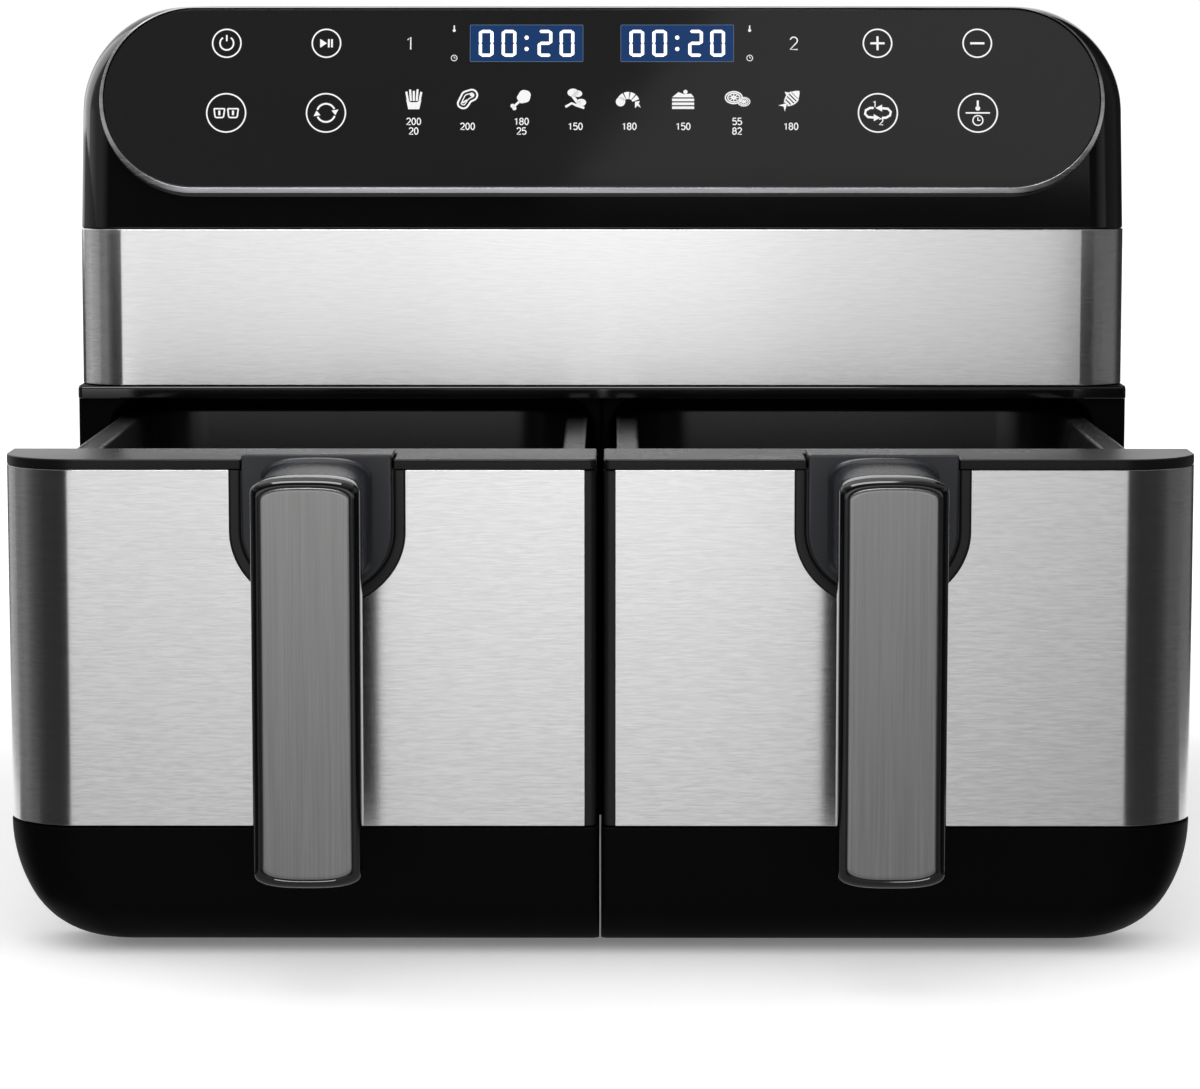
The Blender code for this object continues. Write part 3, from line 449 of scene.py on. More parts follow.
finishes = {
    "steel": brushedMetal("brushedSteel", (0.71, 0.71, 0.71), (0.81, 0.81, 0.81),
                          (260.0, 260.0, 4200.0), (0.19, 0.22), 0.012,
                          {"Anisotropic": 0.92, "Anisotropic Rotation": 0.25}),
    "insertSteel": brushedMetal("satinInsert", (0.255, 0.253, 0.252), (0.305, 0.303, 0.302),
                                (2800.0, 30.0, 30.0), (0.30, 0.38), 0.05, {"Anisotropic": 0.3}),
    "trim": brushedMetal("trimSilver", (0.40, 0.40, 0.42), (0.52, 0.52, 0.54), (30.0, 30.0, 700.0),
                         (0.22, 0.30), 0.05),
    # liner: metal painted near black, as painted shade that makes the cavity behind the drawers read
    # dark
    "liner": brushedMetal("linerPaintedShade", (0.012, 0.012, 0.013), (0.022, 0.022, 0.023),
                          (60.0, 60.0, 60.0), (0.45, 0.60), 0.2),
    "guard": brushedMetal("guardSheet", (0.16, 0.16, 0.165), (0.24, 0.24, 0.245),
                          (300.0, 40.0, 40.0), (0.35, 0.5), 0.15),
    "heater": brushedMetal("heaterSheath", (0.10, 0.09, 0.085), (0.20, 0.175, 0.155),
                           (180.0, 180.0, 180.0), (0.35, 0.55), 0.2),
    "motor": brushedMetal("motorCase", (0.36, 0.36, 0.37), (0.48, 0.48, 0.49), (90.0, 90.0, 500.0),
                          (0.30, 0.42), 0.1),
    "fan": brushedMetal("fanAluminium", (0.58, 0.58, 0.59), (0.72, 0.72, 0.73), (240.0, 240.0, 40.0),
                        (0.28, 0.40), 0.1),
    "gloss": moulded("glossBlack", (0.0020, 0.0021, 0.0025), (0.05, 0.08), 260.0, 0.01, 0.02),
    "matte": moulded("matteBlack", (0.0012, 0.0012, 0.0013), (0.46, 0.58), 1700.0, 0.25, 0.03, 0.04),
    "rim": moulded("satinRim", (0.0042, 0.0041, 0.0040), (0.25, 0.31), 1300.0, 0.08, 0.05, 0.18),
    "moulding": moulded("satinMoulding", (0.0060, 0.0059, 0.0058), (0.32, 0.38), 1300.0, 0.08, 0.03,
                        0.25),
    "navy": moulded("bezelNavy", (0.0150, 0.0160, 0.0200), (0.24, 0.32), 1500.0, 0.06, 0.02, 0.35),
    "surround": moulded("bezelSurround", (0.0085, 0.0078, 0.0075), (0.30, 0.38), 1500.0, 0.06, 0.02,
                        0.3),
    "rubber": moulded("footRubber", (0.014, 0.014, 0.014), (0.70, 0.85), 900.0, 0.4, 0.05),
    "silicone": moulded("siliconeGrey", (0.050, 0.050, 0.054), (0.50, 0.62), 1200.0, 0.2, 0.04),
    "nonstick": coated("nonstickCoat", (0.0080, 0.0080, 0.0086), (0.030, 0.030, 0.032),
                       (0.26, 0.32), 1500.0),
    "glass": touchGlass(),
    "display": displayField(),
    "marks": litMarks("printedMarks", 0.10),
    "digits": litMarks("litDigits", 0.75),
    "frameLine": litMarks("displayEdge", 0.15, (0.10, 0.15, 0.23), (0.14, 0.20, 0.30)),
    "board": boardMask(),
}
print("finishes:", len(finishes))


# casing

bandLow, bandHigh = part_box("steel_band")
coverLow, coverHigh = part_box("top_cover")
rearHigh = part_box("rear_cover")[1]
frameLow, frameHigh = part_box("front_frame")
lipLow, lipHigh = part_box("band_lip")
linerLow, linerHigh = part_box("right_liner")
casing = {
    "bandCorner": 0.018, "bandSheet": 0.0008, "bandEdge": 0.0003,
    "coverLean": math.radians(12), "coverFront": 0.001, "coverCorner": 0.015, "coverRear": 0.004,
    "topCorner": 0.040, "topSoft": 0.0025, "wall": 0.0025, "lowCorner": 0.030, "openingTop": 0.1697,
    "linerCorner": 0.0113, "sheet": 0.0007, "sideWall": 0.0037,
}


# half width of the cover at a height: straight sides, then the round top corner
def coverHalf(z):
    above = np.clip(z - (coverHigh.z - casing["topCorner"]), 0, casing["topCorner"])
    return coverHigh.x - casing["topCorner"] + np.sqrt(casing["topCorner"] ** 2 - above ** 2)


# ring of the cover at height z: the front leans back, and goes over into the top on a small arc
def coverRing(z, inset=0.0, steps=12):
    soft = casing["topSoft"]
    over = max(z - (coverHigh.z - soft), 0.0)
    front = bandLow.y + casing["coverFront"] + (z - coverLow.z) * math.tan(casing["coverLean"])
    front += soft - math.sqrt(max(soft ** 2 - over ** 2, 0.0)) + inset
    x, rear, corner = coverHalf(z) - inset, coverHigh.y - inset, casing["coverCorner"] - inset
    return atHeight(bend([(-x, front, corner), (x, front, corner), (x, rear, casing["coverRear"]),
                          (-x, rear, casing["coverRear"])], steps), "xy", z)


# shell: rings up the inner side, then down to the foot and up the outer side, closed at the crown
def buildTopCover():
    bottom, top = coverLow.z, coverHigh.z
    straight = top - casing["topCorner"]
    ease, wall = 0.0005, casing["wall"]
    turn = np.radians(np.concatenate([np.linspace(0, 60, 18), np.linspace(62, 90, 24)]))
    outer = [coverRing(bottom, ease), coverRing(bottom + 0.25 * ease, 0.35 * ease),
             coverRing(bottom + ease)]
    outer += [coverRing(z) for z in straight + casing["topCorner"] * np.sin(turn)]
    innerCurve = straight + (casing["topCorner"] - wall) * np.sin(turn[::5])
    inner = [coverRing(z, wall) for z in np.concatenate([[bottom], innerCurve])[::-1]]
    makePiece("topCover", ringSkin(inner + outer), "gloss", ["top_cover"])


# sheet section carried along the front and both sides, round the two corners
def buildSteelBand():
    x, front, rear, corner = bandHigh.x, bandLow.y, bandHigh.y, casing["bandCorner"]
    path = bend([(-x, rear, 0), (-x, front, corner), (x, front, corner), (x, rear, 0)], 28)
    profile = sheetProfile(casing["bandSheet"], bandLow.z, bandHigh.z, casing["bandEdge"])
    makePiece("steelBand", carried(path, profile), "steel", ["steel_band"], sharp=50)


# rail under the band: its plan is rounded at both ends, its edges by small quarter circles
def buildBandLip():
    front, rear = lipLow.y, lipHigh.y
    corner = rear - front - 0.0002
    plan = shapeOf([(lipLow.x, front, corner), (lipHigh.x, front, corner), (lipHigh.x, rear, 0.0001),
                    (lipLow.x, rear, 0.0001)], 6)
    skin = softPrism(plan, "xy", lipLow.z, lipHigh.z, 0.0005, 0.0010)
    makePiece("bandLip", skin, "gloss", ["band_lip"])


# one half of the frame: its opening's outline joined across flat faces to the outer outline
def frameHalf(side):
    hole, corner, sheet = casing["openingTop"], casing["linerCorner"], casing["sheet"]
    opening = shapeOf(block(linerLow.x + sheet, linerLow.z + sheet, linerHigh.x - sheet, hole, corner),
                      10)
    top = bandLow.z - air
    around = shapeOf([(0, frameLow.z, 0.0001), (frameHigh.x, frameLow.z, casing["lowCorner"]),
                      (frameHigh.x, top, 0.0003), (0, top, 0.0001)], 10)
    front, back, edge = frameLow.y, frameHigh.y, 0.0012
    turn = np.linspace(0, math.pi / 2, 5)
    rounded = [(edge * (1 - math.cos(t)), front + edge * (1 - math.sin(t))) for t in turn]
    rings = [atHeight(opening(0), "xz", back), atHeight(around(0), "xz", back)]
    rings += ringsAt(around, "xz", rounded)
    rings += ringsAt(opening, "xz", [(-inset, y) for inset, y in rounded[::-1]])
    return mirrored(ringSkin(rings, loop=True), side)


# both halves of the frame, and the backing behind the band
def buildFrontFrame():
    narrow = bandHigh.x - casing["bandCorner"] - 0.002
    backing = softBox((-narrow, frameLow.y, bandLow.z), (narrow, frameHigh.y, bandHigh.z - air),
                      0.001, 0.0005, "xz")
    skin = joined([frameHalf(-1), frameHalf(1), backing])
    makePiece("frontFrame", skin, "matte", ["front_frame"])


# U section: round bottom corners, walls rising to the band, carried straight back
def buildLowerHousing():
    low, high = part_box("lower_housing")
    step = bandLow.z - air
    inner = high.x - casing["sideWall"]
    corner = casing["lowCorner"]
    right = [(high.x, low.z, corner), (high.x, step, 0.0003), (inner, step, 0.0003),
             (inner, low.z + casing["wall"], corner - casing["wall"])]
    section = shapeOf(right + [(-x, z, r) for x, z, r in reversed(right)], 14)
    shell = softPrism(section, "xz", low.y, high.y, 0.0006, 0.0004)
    upperX = high.x - casing["bandSheet"] - air
    start = bandLow.y + casing["bandCorner"] + air
    walls = [softBox((x, start, step), (x + upperX - inner, high.y, high.z), 0.0003, 0.0002)
             for x in (-upperX, inner)]
    makePiece("lowerHousing", joined([shell] + walls), "matte", ["lower_housing"])


# rear cover, and the cord gland turned from a stepped profile with ribs that taper to the tip
def buildRear():
    easedCopy("rearCover", "rear_cover", "matte", 0.0005)
    low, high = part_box("cord_gland")
    centre = ((low.x + high.x) / 2, (low.z + high.z) / 2)
    base, tip = low.y, high.y
    profile = [(0.0036, base), (0.0096, base), (0.0100, base + 0.0004), (0.0100, base + 0.0022),
               (0.0094, base + 0.0030), (0.0076, base + 0.0033)]
    for k in range(4):
        y = base + 0.0040 + 0.0019 * k
        r = 0.0074 - 0.0003 * k
        profile += [(r, y), (r, y + 0.0009), (r - 0.0008, y + 0.0011), (r - 0.0008, y + 0.0017)]
    profile += [(0.0060, tip - 0.0005), (0.0055, tip), (0.0042, tip), (0.0036, tip - 0.0005)]
    makePiece("cordGland", turned(profile, "xz", centre, 56, loop=True), "matte",
              ["cord_gland"])


screws = {"x": 0.178, "rows": (0.060, 0.170, 0.268), "top": 0.305, "bottom": 0.020,
          "radius": 0.0031, "arm": 0.0015, "thin": 0.00035}


# pan head: a dome turned about the screw's axis
def screwHead(x, z, y):
    r = screws["radius"]
    dome = [(0.0001, y + 0.0016), (r - 0.0015, y + 0.00155), (r - 0.0005, y + 0.0012),
            (r, y + 0.0006), (r, y + 0.00005)]
    return turned(dome, "xz", (x, z), 28)


# cross of two slim bars in the head
def screwCross(x, z, y):
    bars = [(screws["arm"], screws["thin"]), (screws["thin"], screws["arm"])]
    return joined([softBox((x - u, y + 0.001, z - v), (x + u, y + 0.00168, z + v), 0.0002, 0.00005,
                           "xz", 1) for u, v in bars])


# screws down both edges of the rear cover, and one each at its top and bottom
def buildScrews():
    spots = [(side * screws["x"], z) for side in (-1, 1) for z in screws["rows"]]
    spots += [(0.0, screws["top"]), (0.0, screws["bottom"])]
    for name, draw, finish, slot in (("rearScrews", screwHead, "motor", "motor_metal"),
                                     ("rearScrewRecesses", screwCross, "matte", "matte_black")):
        makePiece(name, joined([draw(x, z, rearHigh.y) for x, z in spots]), finish)


# feet: turned pads with an eased sole
def buildFeet():
    for name in ("foot_front_left", "foot_front_right", "foot_rear_left", "foot_rear_right"):
        low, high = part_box(name)
        centre = ((low.x + high.x) / 2, (low.y + high.y) / 2)
        r = (high.x - low.x) / 2
        profile = [(0.004, 0.0008), (r - 0.0035, 0.0008), (r - 0.0030, 0.0), (r - 0.0012, 0.0),
                   (r - 0.0004, 0.0003), (r, 0.0012), (r, high.z - 0.0008), (r - 0.0006, high.z)]
        makePiece(name.title().replace("_", ""), turned(profile, "xy", centre), "rubber",
                  [name])


# control panel

glassLow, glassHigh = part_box("control_glass")
panel = {
    "ringWidth": 0.0014, "ringTop": 0.0040, "ringEdge": 0.0034, "glassRise": 0.0008, "glassTop": 0.0034,
    "halfU": 0.1914, "halfV": 0.0361, "displayHalf": 0.0071, "line": 0.00055,
    "markLow": 0.00001, "markTop": 0.00005,
}
lean = casing["coverLean"]
panelUp = np.array([0, math.sin(lean), math.cos(lean)])
panelOut = np.array([0, -math.cos(lean), math.sin(lean)])
panelCentre = (np.array(glassLow) + np.array(glassHigh)) / 2 - panelOut * (panel["glassTop"] + air) / 2
panelCentre -= panelUp * panel["glassRise"]


# panel coordinates (u across, v up the slope, w out of it) to places in space
def onPanel(skin):
    u, v, w = skin[0][:, :1], skin[0][:, 1:2], skin[0][:, 2:]
    return panelCentre + u * np.array([1.0, 0, 0]) + v * panelUp + w * panelOut, skin[1]


# long oval, nearly half a circle at each end
def stadium(steps=40):
    halfU, halfV = panel["halfU"], panel["halfV"]
    return shapeOf(block(-halfU, -halfV, halfU, halfV, halfV - 0.0001), steps)


# how far the cover has fallen away, round its corners, behind a place on the panel
def fallAway(points):
    z = panelCentre[2] + points[:, 1] * math.cos(lean)
    corner = casing["coverCorner"]
    past = np.clip(np.abs(points[:, 0]) - (coverHalf(z) - corner), 0, corner)
    return corner - np.sqrt(corner ** 2 - past ** 2)


# height of the displays up the slope, from where the frame has them
def displayV():
    low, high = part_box("left_display")
    middle = (np.array(low) + np.array(high)) / 2 - panelCentre
    return float(middle @ panelUp)


# trim ring: its crest slopes up to the glass, which sits a little high in it, and its skirt follows
# the cover round its corners
def buildRing(shape):
    edge, top = panel["ringEdge"], panel["ringTop"]

    def ringAt(across, w):
        ring = atHeight(shape(panel["ringWidth"] * across), "xy", w)
        ring[:, 1] += panel["glassRise"] * across
        return ring

    rings = [ringAt(0.0, edge - 0.0003), ringAt(0.06, edge)]
    rings += [ringAt(t, edge + (top - edge) * t) for t in (0.12, 0.5, 0.9)]
    rings += [ringAt(1.0, top - 0.0002), ringAt(1.0, top - 0.0006)]
    for across in (1.0, 0.0):
        base = ringAt(across, air)
        base[:, 2] -= fallAway(base)
        rings.append(base)
    makePiece("panelRing", onPanel(ringSkin(rings, loop=True)), "trim", ["panel_ring"],
              sharp=30)


# glass: a push of the oval; displays: thin lenses flush with it, each with a fine line round it
def buildPanel():
    shape, top = stadium(), panel["glassTop"]
    buildRing(shape)
    start = panel["ringWidth"] + air
    glass = softPrism(lambda inset: shape(start + inset), "xy", air, top, 0.0, 0.0004)
    glass[0][:, 1] += panel["glassRise"]
    makePiece("controlGlass", onPanel(glass), "glass", ["control_glass"])
    frames = []
    v, half = displayV(), panel["displayHalf"]
    for word in sides:
        node = word + "_display"
        low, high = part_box(node)
        sill = block(low.x - air, v - half, high.x + air, v + half, 0.0003)
        lens = softPrism(shapeOf(sill, 3), "xy", top - 0.0004, top + 0.00003, 0, 0.00001, 1)
        makePiece(word + "Display", onPanel(lens), "display", [node])
        frames.append(stroke(bend(sill, 3), 0.00014, loop=True))
    makePiece("displayFrames", onPanel(joined(frames)), "frameLine")


markSpan = [panel["glassTop"] + panel[edge] for edge in ("markLow", "markTop")]


# flat ribbon of one width along a line of points, squared off at its ends
def stroke(points, width, loop=False):
    half = width / 2
    low, top = markSpan
    return carried(np.asarray(points, float), [(-half, low), (half, low), (half, top), (-half, top)],
                   loop)


# flat patch bounded by a line of points
def fill(points):
    return ringSkin([atHeight(np.asarray(points, float), "xy", w) for w in markSpan])


# arc between two angles in degrees, or of an ellipse when squashed
def arcPoints(centre, radius, first, last, count=24, squash=1.0):
    angle = np.radians(np.linspace(first, last, count))
    return np.stack([centre[0] + radius * np.cos(angle),
                     centre[1] + radius * squash * np.sin(angle)], 1)


# circle drawn as a ribbon
def circleLine(centre, radius, width):
    angle = np.linspace(0, math.tau, 56, endpoint=False)
    path = np.stack([centre[0] + radius * np.cos(angle), centre[1] + radius * np.sin(angle)], 1)
    return stroke(path, width, loop=True)


# filled circle or ellipse
def disc(centre, radius, squash=1.0, count=28):
    return fill(arcPoints(centre, radius, 0, 360 * (1 - 1 / count), count, squash))


# millimetres about a symbol's centre to panel coordinates
def moved(points, centre):
    return np.asarray(points, float) * 0.001 + np.array(centre)


# ribbon, patch and disc placed in millimetres about a centre
def line(c, points, width, loop=False):
    return stroke(moved(points, c), width, loop)


def patch(c, points):
    return fill(moved(points, c))


def dot(c, place, radius, squash=1.0):
    return disc(moved(place, c), radius, squash)


# seven-segment figures: bars a to g, clockwise from the top, g in the middle, each with pointed ends
figureBars = {0: "abcdef", 2: "abged"}
figureSize = {"halfU": 0.0028, "halfV": 0.0052, "half": 0.00060, "gap": 0.00006,
              "places": ((0, -0.0154), (0, -0.0067), (2, 0.0070), (0, 0.0154)), "colon": 0.0022,
              "colonRadius": 0.00080}


# pointed bar: a long hexagon along u, its points at plus and minus reach
def pointedBar(reach, half):
    return np.array([(-reach, 0), (half - reach, half), (reach - half, half), (reach, 0),
                     (reach - half, -half), (half - reach, -half)])


# bars of one figure, each set in place about its centre
def figure(value, centre):
    halfU, halfV, half = figureSize["halfU"], figureSize["halfV"], figureSize["half"]
    middle = halfV / 2
    flat = pointedBar(halfU - half - figureSize["gap"], half)
    tall = pointedBar(middle - 0.0001, half)[:, ::-1]
    u, v = halfU - half, halfV - half
    up, down = middle - half / 2, half / 2 - middle
    places = {"a": (flat, 0, v), "b": (tall, u, up), "c": (tall, u, down), "d": (flat, 0, -v),
              "e": (tall, -u, down), "f": (tall, -u, up), "g": (flat, 0, 0)}
    return [fill(bar + np.array([x, y]) + np.array(centre))
            for bar, x, y in (places[key] for key in figureBars[value])]


# two figures, a colon and two figures
def clockFigures(centre):
    skins = []
    for value, shift in figureSize["places"]:
        skins += figure(value, (centre[0] + shift, centre[1]))
    for rise in (-figureSize["colon"], figureSize["colon"]):
        skins.append(disc((centre[0], centre[1] + rise), figureSize["colonRadius"], count=12))
    return skins


# numerals as single lines one unit high
def numeralLines(value):
    turn = np.linspace(0, math.tau, 25)
    lines = {
        0: [np.stack([0.27 * np.cos(turn), 0.5 * np.sin(turn)], 1)],
        1: [np.array([(-0.20, 0.27), (0.05, 0.5), (0.05, -0.5)])],
        2: [np.concatenate([arcPoints((0, 0.22), 0.28, 165, -35), [(-0.29, -0.5), (0.31, -0.5)]])],
        5: [np.concatenate([[(0.26, 0.5), (-0.19, 0.5), (-0.25, 0.06)],
                            arcPoints((0, -0.19), 0.31, 130, -145)])],
        8: [arcPoints((0, 0.25), 0.24, 0, 360), arcPoints((0, -0.23), 0.27, 0, 360)],
    }
    return lines[value]


# numerals in a row, 0.78 of their height apart
def number(value, centre, height, width):
    skins = []
    digits = str(value)
    start = centre[0] - 0.39 * height * (len(digits) - 1)
    for k, digit in enumerate(digits):
        spot = np.array((start + 0.78 * height * k, centre[1]))
        skins += [stroke(path * height + spot, width) for path in numeralLines(int(digit))]
    return skins


# round key symbols, each drawn in millimetres about its key's centre
def powerKey(c):
    wide = panel["line"] * 1.1
    return [stroke(arcPoints(c, 0.0026, 125, 415), wide), line(c, [(0, 0.8), (0, 3.2)], wide)]


def playKey(c):
    bars = [line(c, [(x, -1.6), (x, 1.6)], 0.0007) for x in (0.9, 2.1)]
    return [patch(c, [(-2.4, -1.7), (0.2, 0), (-2.4, 1.7)])] + bars


def plusKey(c):
    return [line(c, [(-2.7, 0), (2.7, 0)], 0.0008), line(c, [(0, -2.7), (0, 2.7)], 0.0008)]


def minusKey(c):
    return [line(c, [(-2.7, 0), (2.7, 0)], 0.0008)]


def twinKey(c):  # two small baskets with handles, side by side
    skins = []
    for x in (-2.6, 2.6):
        pan = bend([(x - 2.0, 1.6, 0.2), (x - 1.6, -1.8, 0.7), (x + 1.6, -1.8, 0.7),
                    (x + 2.0, 1.6, 0.2)], 4)
        skins.append(line(c, pan, 0.00055, loop=True))
        skins.append(line(c, [(x, 0.9), (x, -0.9)], 0.0008))
    return skins


def linkKey(c):  # two arcs that chase each other
    arcs = [stroke(arcPoints(c, 0.0035, first, first + 135), 0.0007) for first in (25, 205)]
    head = np.array([(2.1, 0.9), (4.7, 1.3), (3.6, -0.9)])
    return arcs + [patch(c, head), patch(c, -head)]


def swapKey(c):  # a bent arrow each way, with the two zones' numerals
    skins = []
    for way in (-1, 1):
        path = np.array([(-1.6, 1.9), (-3.0, 1.9), (-4.6, 1.0), (-4.9, -0.4), (-3.8, -1.6),
                         (-1.4, -1.8)]) * -way
        head = np.array([(-1.6, -0.5), (0.9, -1.9), (-1.6, -3.2)]) * -way
        skins += [line(c, path, 0.0009), patch(c, head)]
    for value, place in ((1, [-1.2, 3.4]), (2, [1.2, -3.4])):
        skins += number(value, moved(place, c), 0.0024, 0.0004)
    return skins


def thermometer(c, size):
    u, v = c
    bulb = (u, v - 0.3 * size)
    return [disc(bulb, 0.24 * size), stroke([bulb, (u, v + 0.5 * size)], 0.2 * size)]


def clockSign(c, size):
    u, v = c
    hand = [(u, v + 0.3 * size), (u, v), (u + 0.25 * size, v)]
    return [circleLine(c, 0.5 * size, 0.12 * size), stroke(hand, 0.12 * size)]


def setKey(c):  # thermometer above, clock below, parted by a line
    skins = [line(c, [(-4.6, 0), (4.6, 0)], panel["line"])]
    return skins + thermometer(moved([0, 2.9], c), 0.0038) + clockSign(moved([0, -2.9], c), 0.0038)


# food symbols, in millimetres about the middle of each
def friesMark(c):  # five sticks in a notched cup
    cup = [(-2.9, -0.1), (-2.1, -3.8), (2.1, -3.8), (2.9, -0.1), (1.1, -1.1), (-1.1, -1.1)]
    sticks = [line(c, [(x, -0.6), (x * 1.3, top)], 0.0008)
              for x, top in ((-2.2, 3.0), (-1.1, 3.8), (0.0, 3.3), (1.1, 3.9), (2.2, 2.9))]
    return sticks + [patch(c, cup)]


def steakMark(c):  # rind and inner line, an eye and a streak of fat
    rim = shapeOf([(-4.2, -2.2, 1.6), (-1.0, -4.2, 2.0), (1.2, -0.8, 1.2), (4.2, 0.6, 2.0),
                   (2.8, 4.2, 2.0), (-1.8, 2.8, 2.2)], 6)
    skins = [line(c, rim(inset), wide, loop=True) for inset, wide in ((0, 0.0007), (1.3, 0.0004))]
    return skins + [dot(c, [1.6, 1.9], 0.0008), line(c, [(-2.0, -1.4), (-0.2, -0.2)], 0.0006)]


def legMark(c):  # round meat, slim bone with two knobs
    meat = bend([(-2.0, 0.6, 1.4), (0.0, 3.9, 1.8), (3.9, 3.0, 1.8), (2.9, -1.0, 1.8),
                 (-0.4, -1.6, 1.0)], 6)
    return [patch(c, meat), line(c, [(-0.6, -0.6), (-2.9, -2.8)], 0.0009),
            dot(c, [-3.4, -2.5], 0.0008), dot(c, [-2.7, -3.4], 0.0008)]


def greensMark(c):  # three rounded heads on crossing stalks
    heads = (((-0.9, 2.6), 0.0021), ((0.9, 2.2), 0.0017), ((2.2, -1.2), 0.0019))
    tops = [dot(c, place, radius, 0.75) for place, radius in heads]
    return tops + [line(c, [(-1.2, 1.6), (0.6, -0.9), (2.0, -1.2)], 0.0012),
                   line(c, [(-3.8, -2.9), (-1.4, -1.5), (0.6, -2.4), (3.4, -3.3)], 0.0009)]


def prawnMark(c):  # arched row of shell plates, head low on the left, tail fan low on the right
    skins = []
    centre = moved([-0.4, -1.6], c)
    for first, last in ((150, 118), (112, 84), (78, 52), (46, 22)):
        outer = arcPoints(centre, 0.0045, first, last, 6)
        inner = arcPoints(centre, 0.0018, last, first, 6)
        skins.append(fill(np.concatenate([outer, inner])))
    skins.append(dot(c, [-3.3, -0.9], 0.0018))
    tail = [(2.2, -0.9), (4.0, -0.6), (3.6, -1.6), (4.4, -3.2), (3.1, -2.4), (2.2, -3.4)]
    return skins + [patch(c, tail)]


def cakeMark(c):  # three layers, icing and a cherry
    layers = [line(c, [(-4.2, z), (4.2, z)], 0.0010) for z in (-3.2, -1.7, -0.2)]
    return layers + [patch(c, [(-4.2, 0.8), (4.2, 0.8), (3.0, 2.2), (0.4, 2.0), (-1.8, 2.8)]),
                     dot(c, [0.9, 2.9], 0.0008)]


def slicesMark(c):  # two round slices: rind, flesh, core and eight ribs
    skins = []
    for place, size in (([-1.2, 0.7], 1.0), ([2.6, -0.9], 0.72)):
        middle = moved(place, c)
        for radius, wide in ((0.0032, 0.0005), (0.0023, 0.0005), (0.0006, 0.0007)):
            ring = arcPoints(middle, radius * size, 0, 350, 30, 0.72)
            skins.append(stroke(ring, wide * size, loop=True))
        ends = arcPoints(middle, 0.0018 * size, 0, 315, 8, 0.72)
        skins += [stroke([middle * 0.45 + end * 0.55, end], 0.0004) for end in ends]
    return skins


def fishMark(c):  # diagonal fish: head filled, body in stripes, back fin, tail down on the left
    way, side = np.array([0.71, 0.71]), np.array([-0.71, 0.71])
    reach = np.linspace(-2.6, 4.6, 13)
    wide = 2.2 * np.sin(np.linspace(0.30, math.pi, 13)) ** 0.8
    spine, out = reach[:, None] * way, wide[:, None] * side
    upper, lower = spine + out, spine - out
    skins = [patch(c, np.concatenate([upper[8:], lower[8:][::-1][1:]]))]
    skins += [line(c, [upper[k], spine[k], lower[k]], 0.00075) for k in (1, 3, 5, 7)]
    skins += [line(c, edge[:9], 0.00045) for edge in (upper, lower)]
    skins.append(patch(c, [upper[7], upper[4], upper[5] + side * 1.5]))
    tail = [spine[1], spine[0] * 1.9 + side * 1.7, spine[0] * 1.5, spine[0] * 1.9 - side * 1.7]
    return skins + [patch(c, tail)]


marks = {
    "keyTop": 0.0219, "keyLow": -0.0050, "smallRing": 0.0054, "largeRing": 0.0074,
    "keys": (0.1430, 0.1050), "foodV": 0.0002, "foodStart": -0.0716, "foodStep": 0.0205,
    "captionV": -0.0102, "captionRise": 0.0019, "captionStep": 0.0037, "captionTall": 0.0025,
    "captionLine": 0.00042, "figureU": 0.0731, "figureTall": 0.0048, "figureLine": 0.00045,
    "unitU": 0.0563, "unitV": 0.0057, "heatTall": 0.0024, "clockTall": 0.0022,
}
foods = ((friesMark, (200, 20)), (steakMark, (200,)), (legMark, (180, 25)), (greensMark, (150,)),
         (prawnMark, (180,)), (cakeMark, (150,)), (slicesMark, (55, 82)), (fishMark, (180,)))


# preset numbers under a food symbol, in one row or two
def presetNumbers(u, values):
    skins = []
    first = marks["captionV"] + (marks["captionRise"] if len(values) > 1 else 0.0)
    for row, value in enumerate(values):
        place = (u, first - marks["captionStep"] * row)
        skins += number(value, place, marks["captionTall"], marks["captionLine"])
    return skins


# keys in their rings, food symbols with their numbers, zone numerals and the signs by the displays
def buildMarks():
    far, near = marks["keys"]
    top, low = marks["keyTop"], marks["keyLow"]
    small = {(-far, top): powerKey, (-near, top): playKey, (near, top): plusKey, (far, top): minusKey}
    large = {(-far, low): twinKey, (-near, low): linkKey, (near, low): swapKey, (far, low): setKey}
    skins = []
    for ring, keys in (("smallRing", small), ("largeRing", large)):
        for centre, draw in keys.items():
            skins.append(circleLine(centre, marks[ring], panel["line"]))
            skins += draw(centre)
    for k, (draw, values) in enumerate(foods):
        u = marks["foodStart"] + marks["foodStep"] * k
        skins += draw((u, marks["foodV"]))
        skins += presetNumbers(u, values)
    for side, value in ((-1, 1), (1, 2)):
        skins += number(value, (side * marks["figureU"], top), marks["figureTall"], marks["figureLine"])
        unit = side * marks["unitU"]
        skins += thermometer((unit, top + marks["unitV"]), marks["heatTall"])
        skins += clockSign((unit, top - marks["unitV"]), marks["clockTall"])
    makePiece("panelMarks", onPanel(joined(skins)), "marks")
    lit = []
    for word in sides:
        low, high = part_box(word + "_display")
        lit += clockFigures(((low.x + high.x) / 2, displayV()))
    makePiece("displayFigures", onPanel(joined(lit)), "digits")


# drawers, built on the right and mirrored for the left

